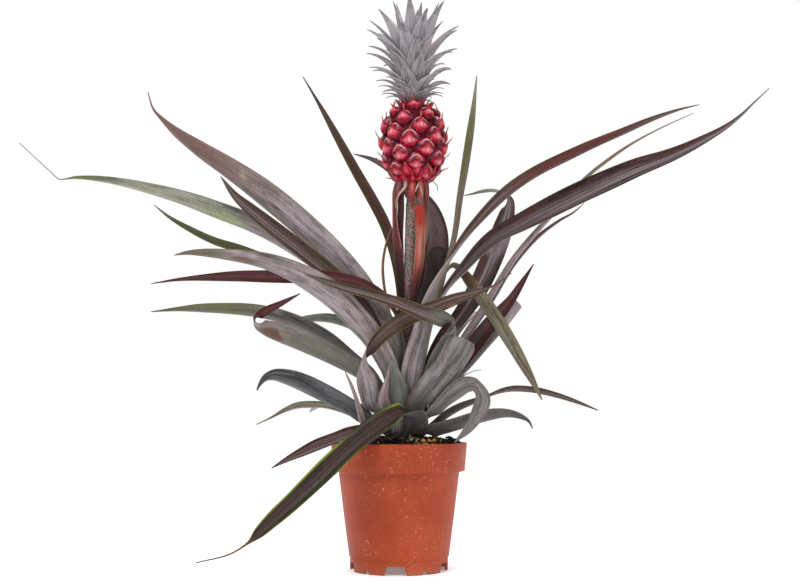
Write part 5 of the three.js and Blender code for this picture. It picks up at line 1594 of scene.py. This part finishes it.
def on_soil(radius, angle, above=0.0):
    """The place at a distance and angle from the pot's middle, that far above the soil."""
    x, y = radius * math.cos(angle), radius * math.sin(angle)
    return Vector((x, y, soil_height(x, y) + above))


def soil_material(name, dark, light):
    tree = Tree("soil_" + name, {"Roughness": 0.95, "Specular IOR Level": 0.2})
    crumbs = tree.noise(tree.place(), 480, 4, 0.7)
    tree.drive("Base Color", tree.mix(tree.ramp(crumbs, 0.4, 0.68), dark, light))
    tree.bump(crumbs, 0.002, 1.0)
    return tree.material


def soil_surface():
    rows = []
    for r in range(SOIL_RINGS + 1):
        radius = SOIL_HOLE + (SOIL_RADIUS - SOIL_HOLE) * r / SOIL_RINGS
        rows.append([on_soil(radius, math.tau * k / SOIL_SIDES) for k in range(SOIL_SIDES)])
    rows += [ring(Vector((0, 0, height)), radius, SOIL_SIDES) for radius, height in SOIL_WALL]
    patch = Patch()
    patch.grid(rows[::-1], DARK, unpainted, closed=True)
    return patch


def add_grain(patch, middle, size, number, slot):
    """A crumb of the potting mix: an eight-sided lump, stretched and turned."""
    tip = wobble(number, 32) * math.pi
    a, side = around(wobble(number, 31) * math.tau)
    b = side * math.cos(tip) + Vector((0, 0, math.sin(tip)))
    long, wide = size * between(0.9, 1.9, number, 33), size * between(0.6, 1.2, number, 34)
    points = []
    for reach in (a * long, b * wide, a.cross(b) * (size * 0.6)):
        points += [middle + reach, middle - reach]
    faces = []
    for i, j in ((0, 2), (2, 1), (1, 3), (3, 0)):
        faces += [(i, j, 4), (j, i, 5)]
    patch.solid((points, faces), slot)


def add_fibre(patch, number):
    """A thin curled bit of root or bark lying on the soil."""
    angle, radius = wobble(number, 41) * math.tau, between(22, 56, number, 42)
    heading = wobble(number, 43) * math.tau
    x, y = radius * math.cos(angle), radius * math.sin(angle)
    path = []
    for i in range(7):
        path.append(Vector((x, y, soil_height(x, y) + between(0.6, 1.8, number * 7 + i, 44))))
        heading += between(-0.6, 0.6, number * 7 + i, 45)
        x, y = x + 1.7 * math.cos(heading), y + 1.7 * math.sin(heading)
        if math.hypot(x, y) > SOIL_RADIUS + 0.1:
            break
    if len(path) > 2:
        patch.solid(tube(path, [0.3] * len(path), 5), FIBRE)


def add_sprout(patch, number):
    """A pale seedling or bit of leaf that stands in the soil in front of the stem."""
    x, y = between(4, 16, number, 51), between(-30, -44, number, 52)
    lean = between(-1.2, 1.2, number, 53)
    height = between(3, 6, number, 54)
    foot = Vector((x, y, soil_height(x, y) - 0.5))
    shares = [i / 5 for i in range(6)]
    path = [foot + Vector((lean * share ** 2 * 2, -0.8 * share, height * share)) for share in shares]
    patch.solid(tube(path, [0.55 * (1 - 0.6 * share) + 0.15 for share in shares], 6), SPROUT)


def add_crumbs(patch):
    """Crumbs all over the soil, and a heap of larger ones at the right-hand side of the rim."""
    for number in range(CRUMBS):
        radius = CRUMB_RADIUS * math.sqrt(wobble(number, 21))
        if radius < CRUMB_HOLE:
            continue
        slot = next(slot for most, slot in CRUMB_KINDS if wobble(number, 24) < most)
        size = 0.5 + 1.3 * wobble(number, 23) ** 2 + (0.5 if slot == GRAIN else 0)
        middle = on_soil(radius, math.tau * wobble(number, 22), size * 0.35)
        add_grain(patch, middle, size, number, slot)
    for number in range(CLUMPS):
        direction = between(*CLUMP_DIRECTIONS, number, 71)
        radius = between(*CLUMP_DISTANCES, number, 72)
        heap = HEAP_HEIGHT * max(0, 1 - abs(direction - HEAP_DIRECTION) / HEAP_SPREAD)
        middle = on_soil(radius, math.radians(direction), heap * wobble(number, 74))
        size = between(1.2, 2.6, number, 73)
        add_grain(patch, middle, size, number + 9000, DARK if number % 5 else BROWN)


def add_soil():
    patch = soil_surface()
    add_crumbs(patch)
    for number in range(FIBRES):
        add_fibre(patch, number)
    for number, (x, y, size) in enumerate(FLAKES):
        add_grain(patch, Vector((x, y, soil_height(x, y) + size * 0.4)), size, number + 5000, GRAIN)
    for number in range(SPROUTS):
        add_sprout(patch, number)
    made = patch.build("soil_fine", [soil_material(*row) for row in SOIL_COLOURS])
    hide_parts("soil")


add_camera()
add_studio()
add_floor()
leaf_looks = leaf_materials()
add_leaves(leaf_looks)
add_stem(leaf_looks)
bract_looks = blade_materials("bract_", BRACT_COLOURS, 0.48, 0.08)
add_bracts(bract_looks)
add_collar(bract_looks)
add_fruit()
add_crown()
add_pot()
add_soil()
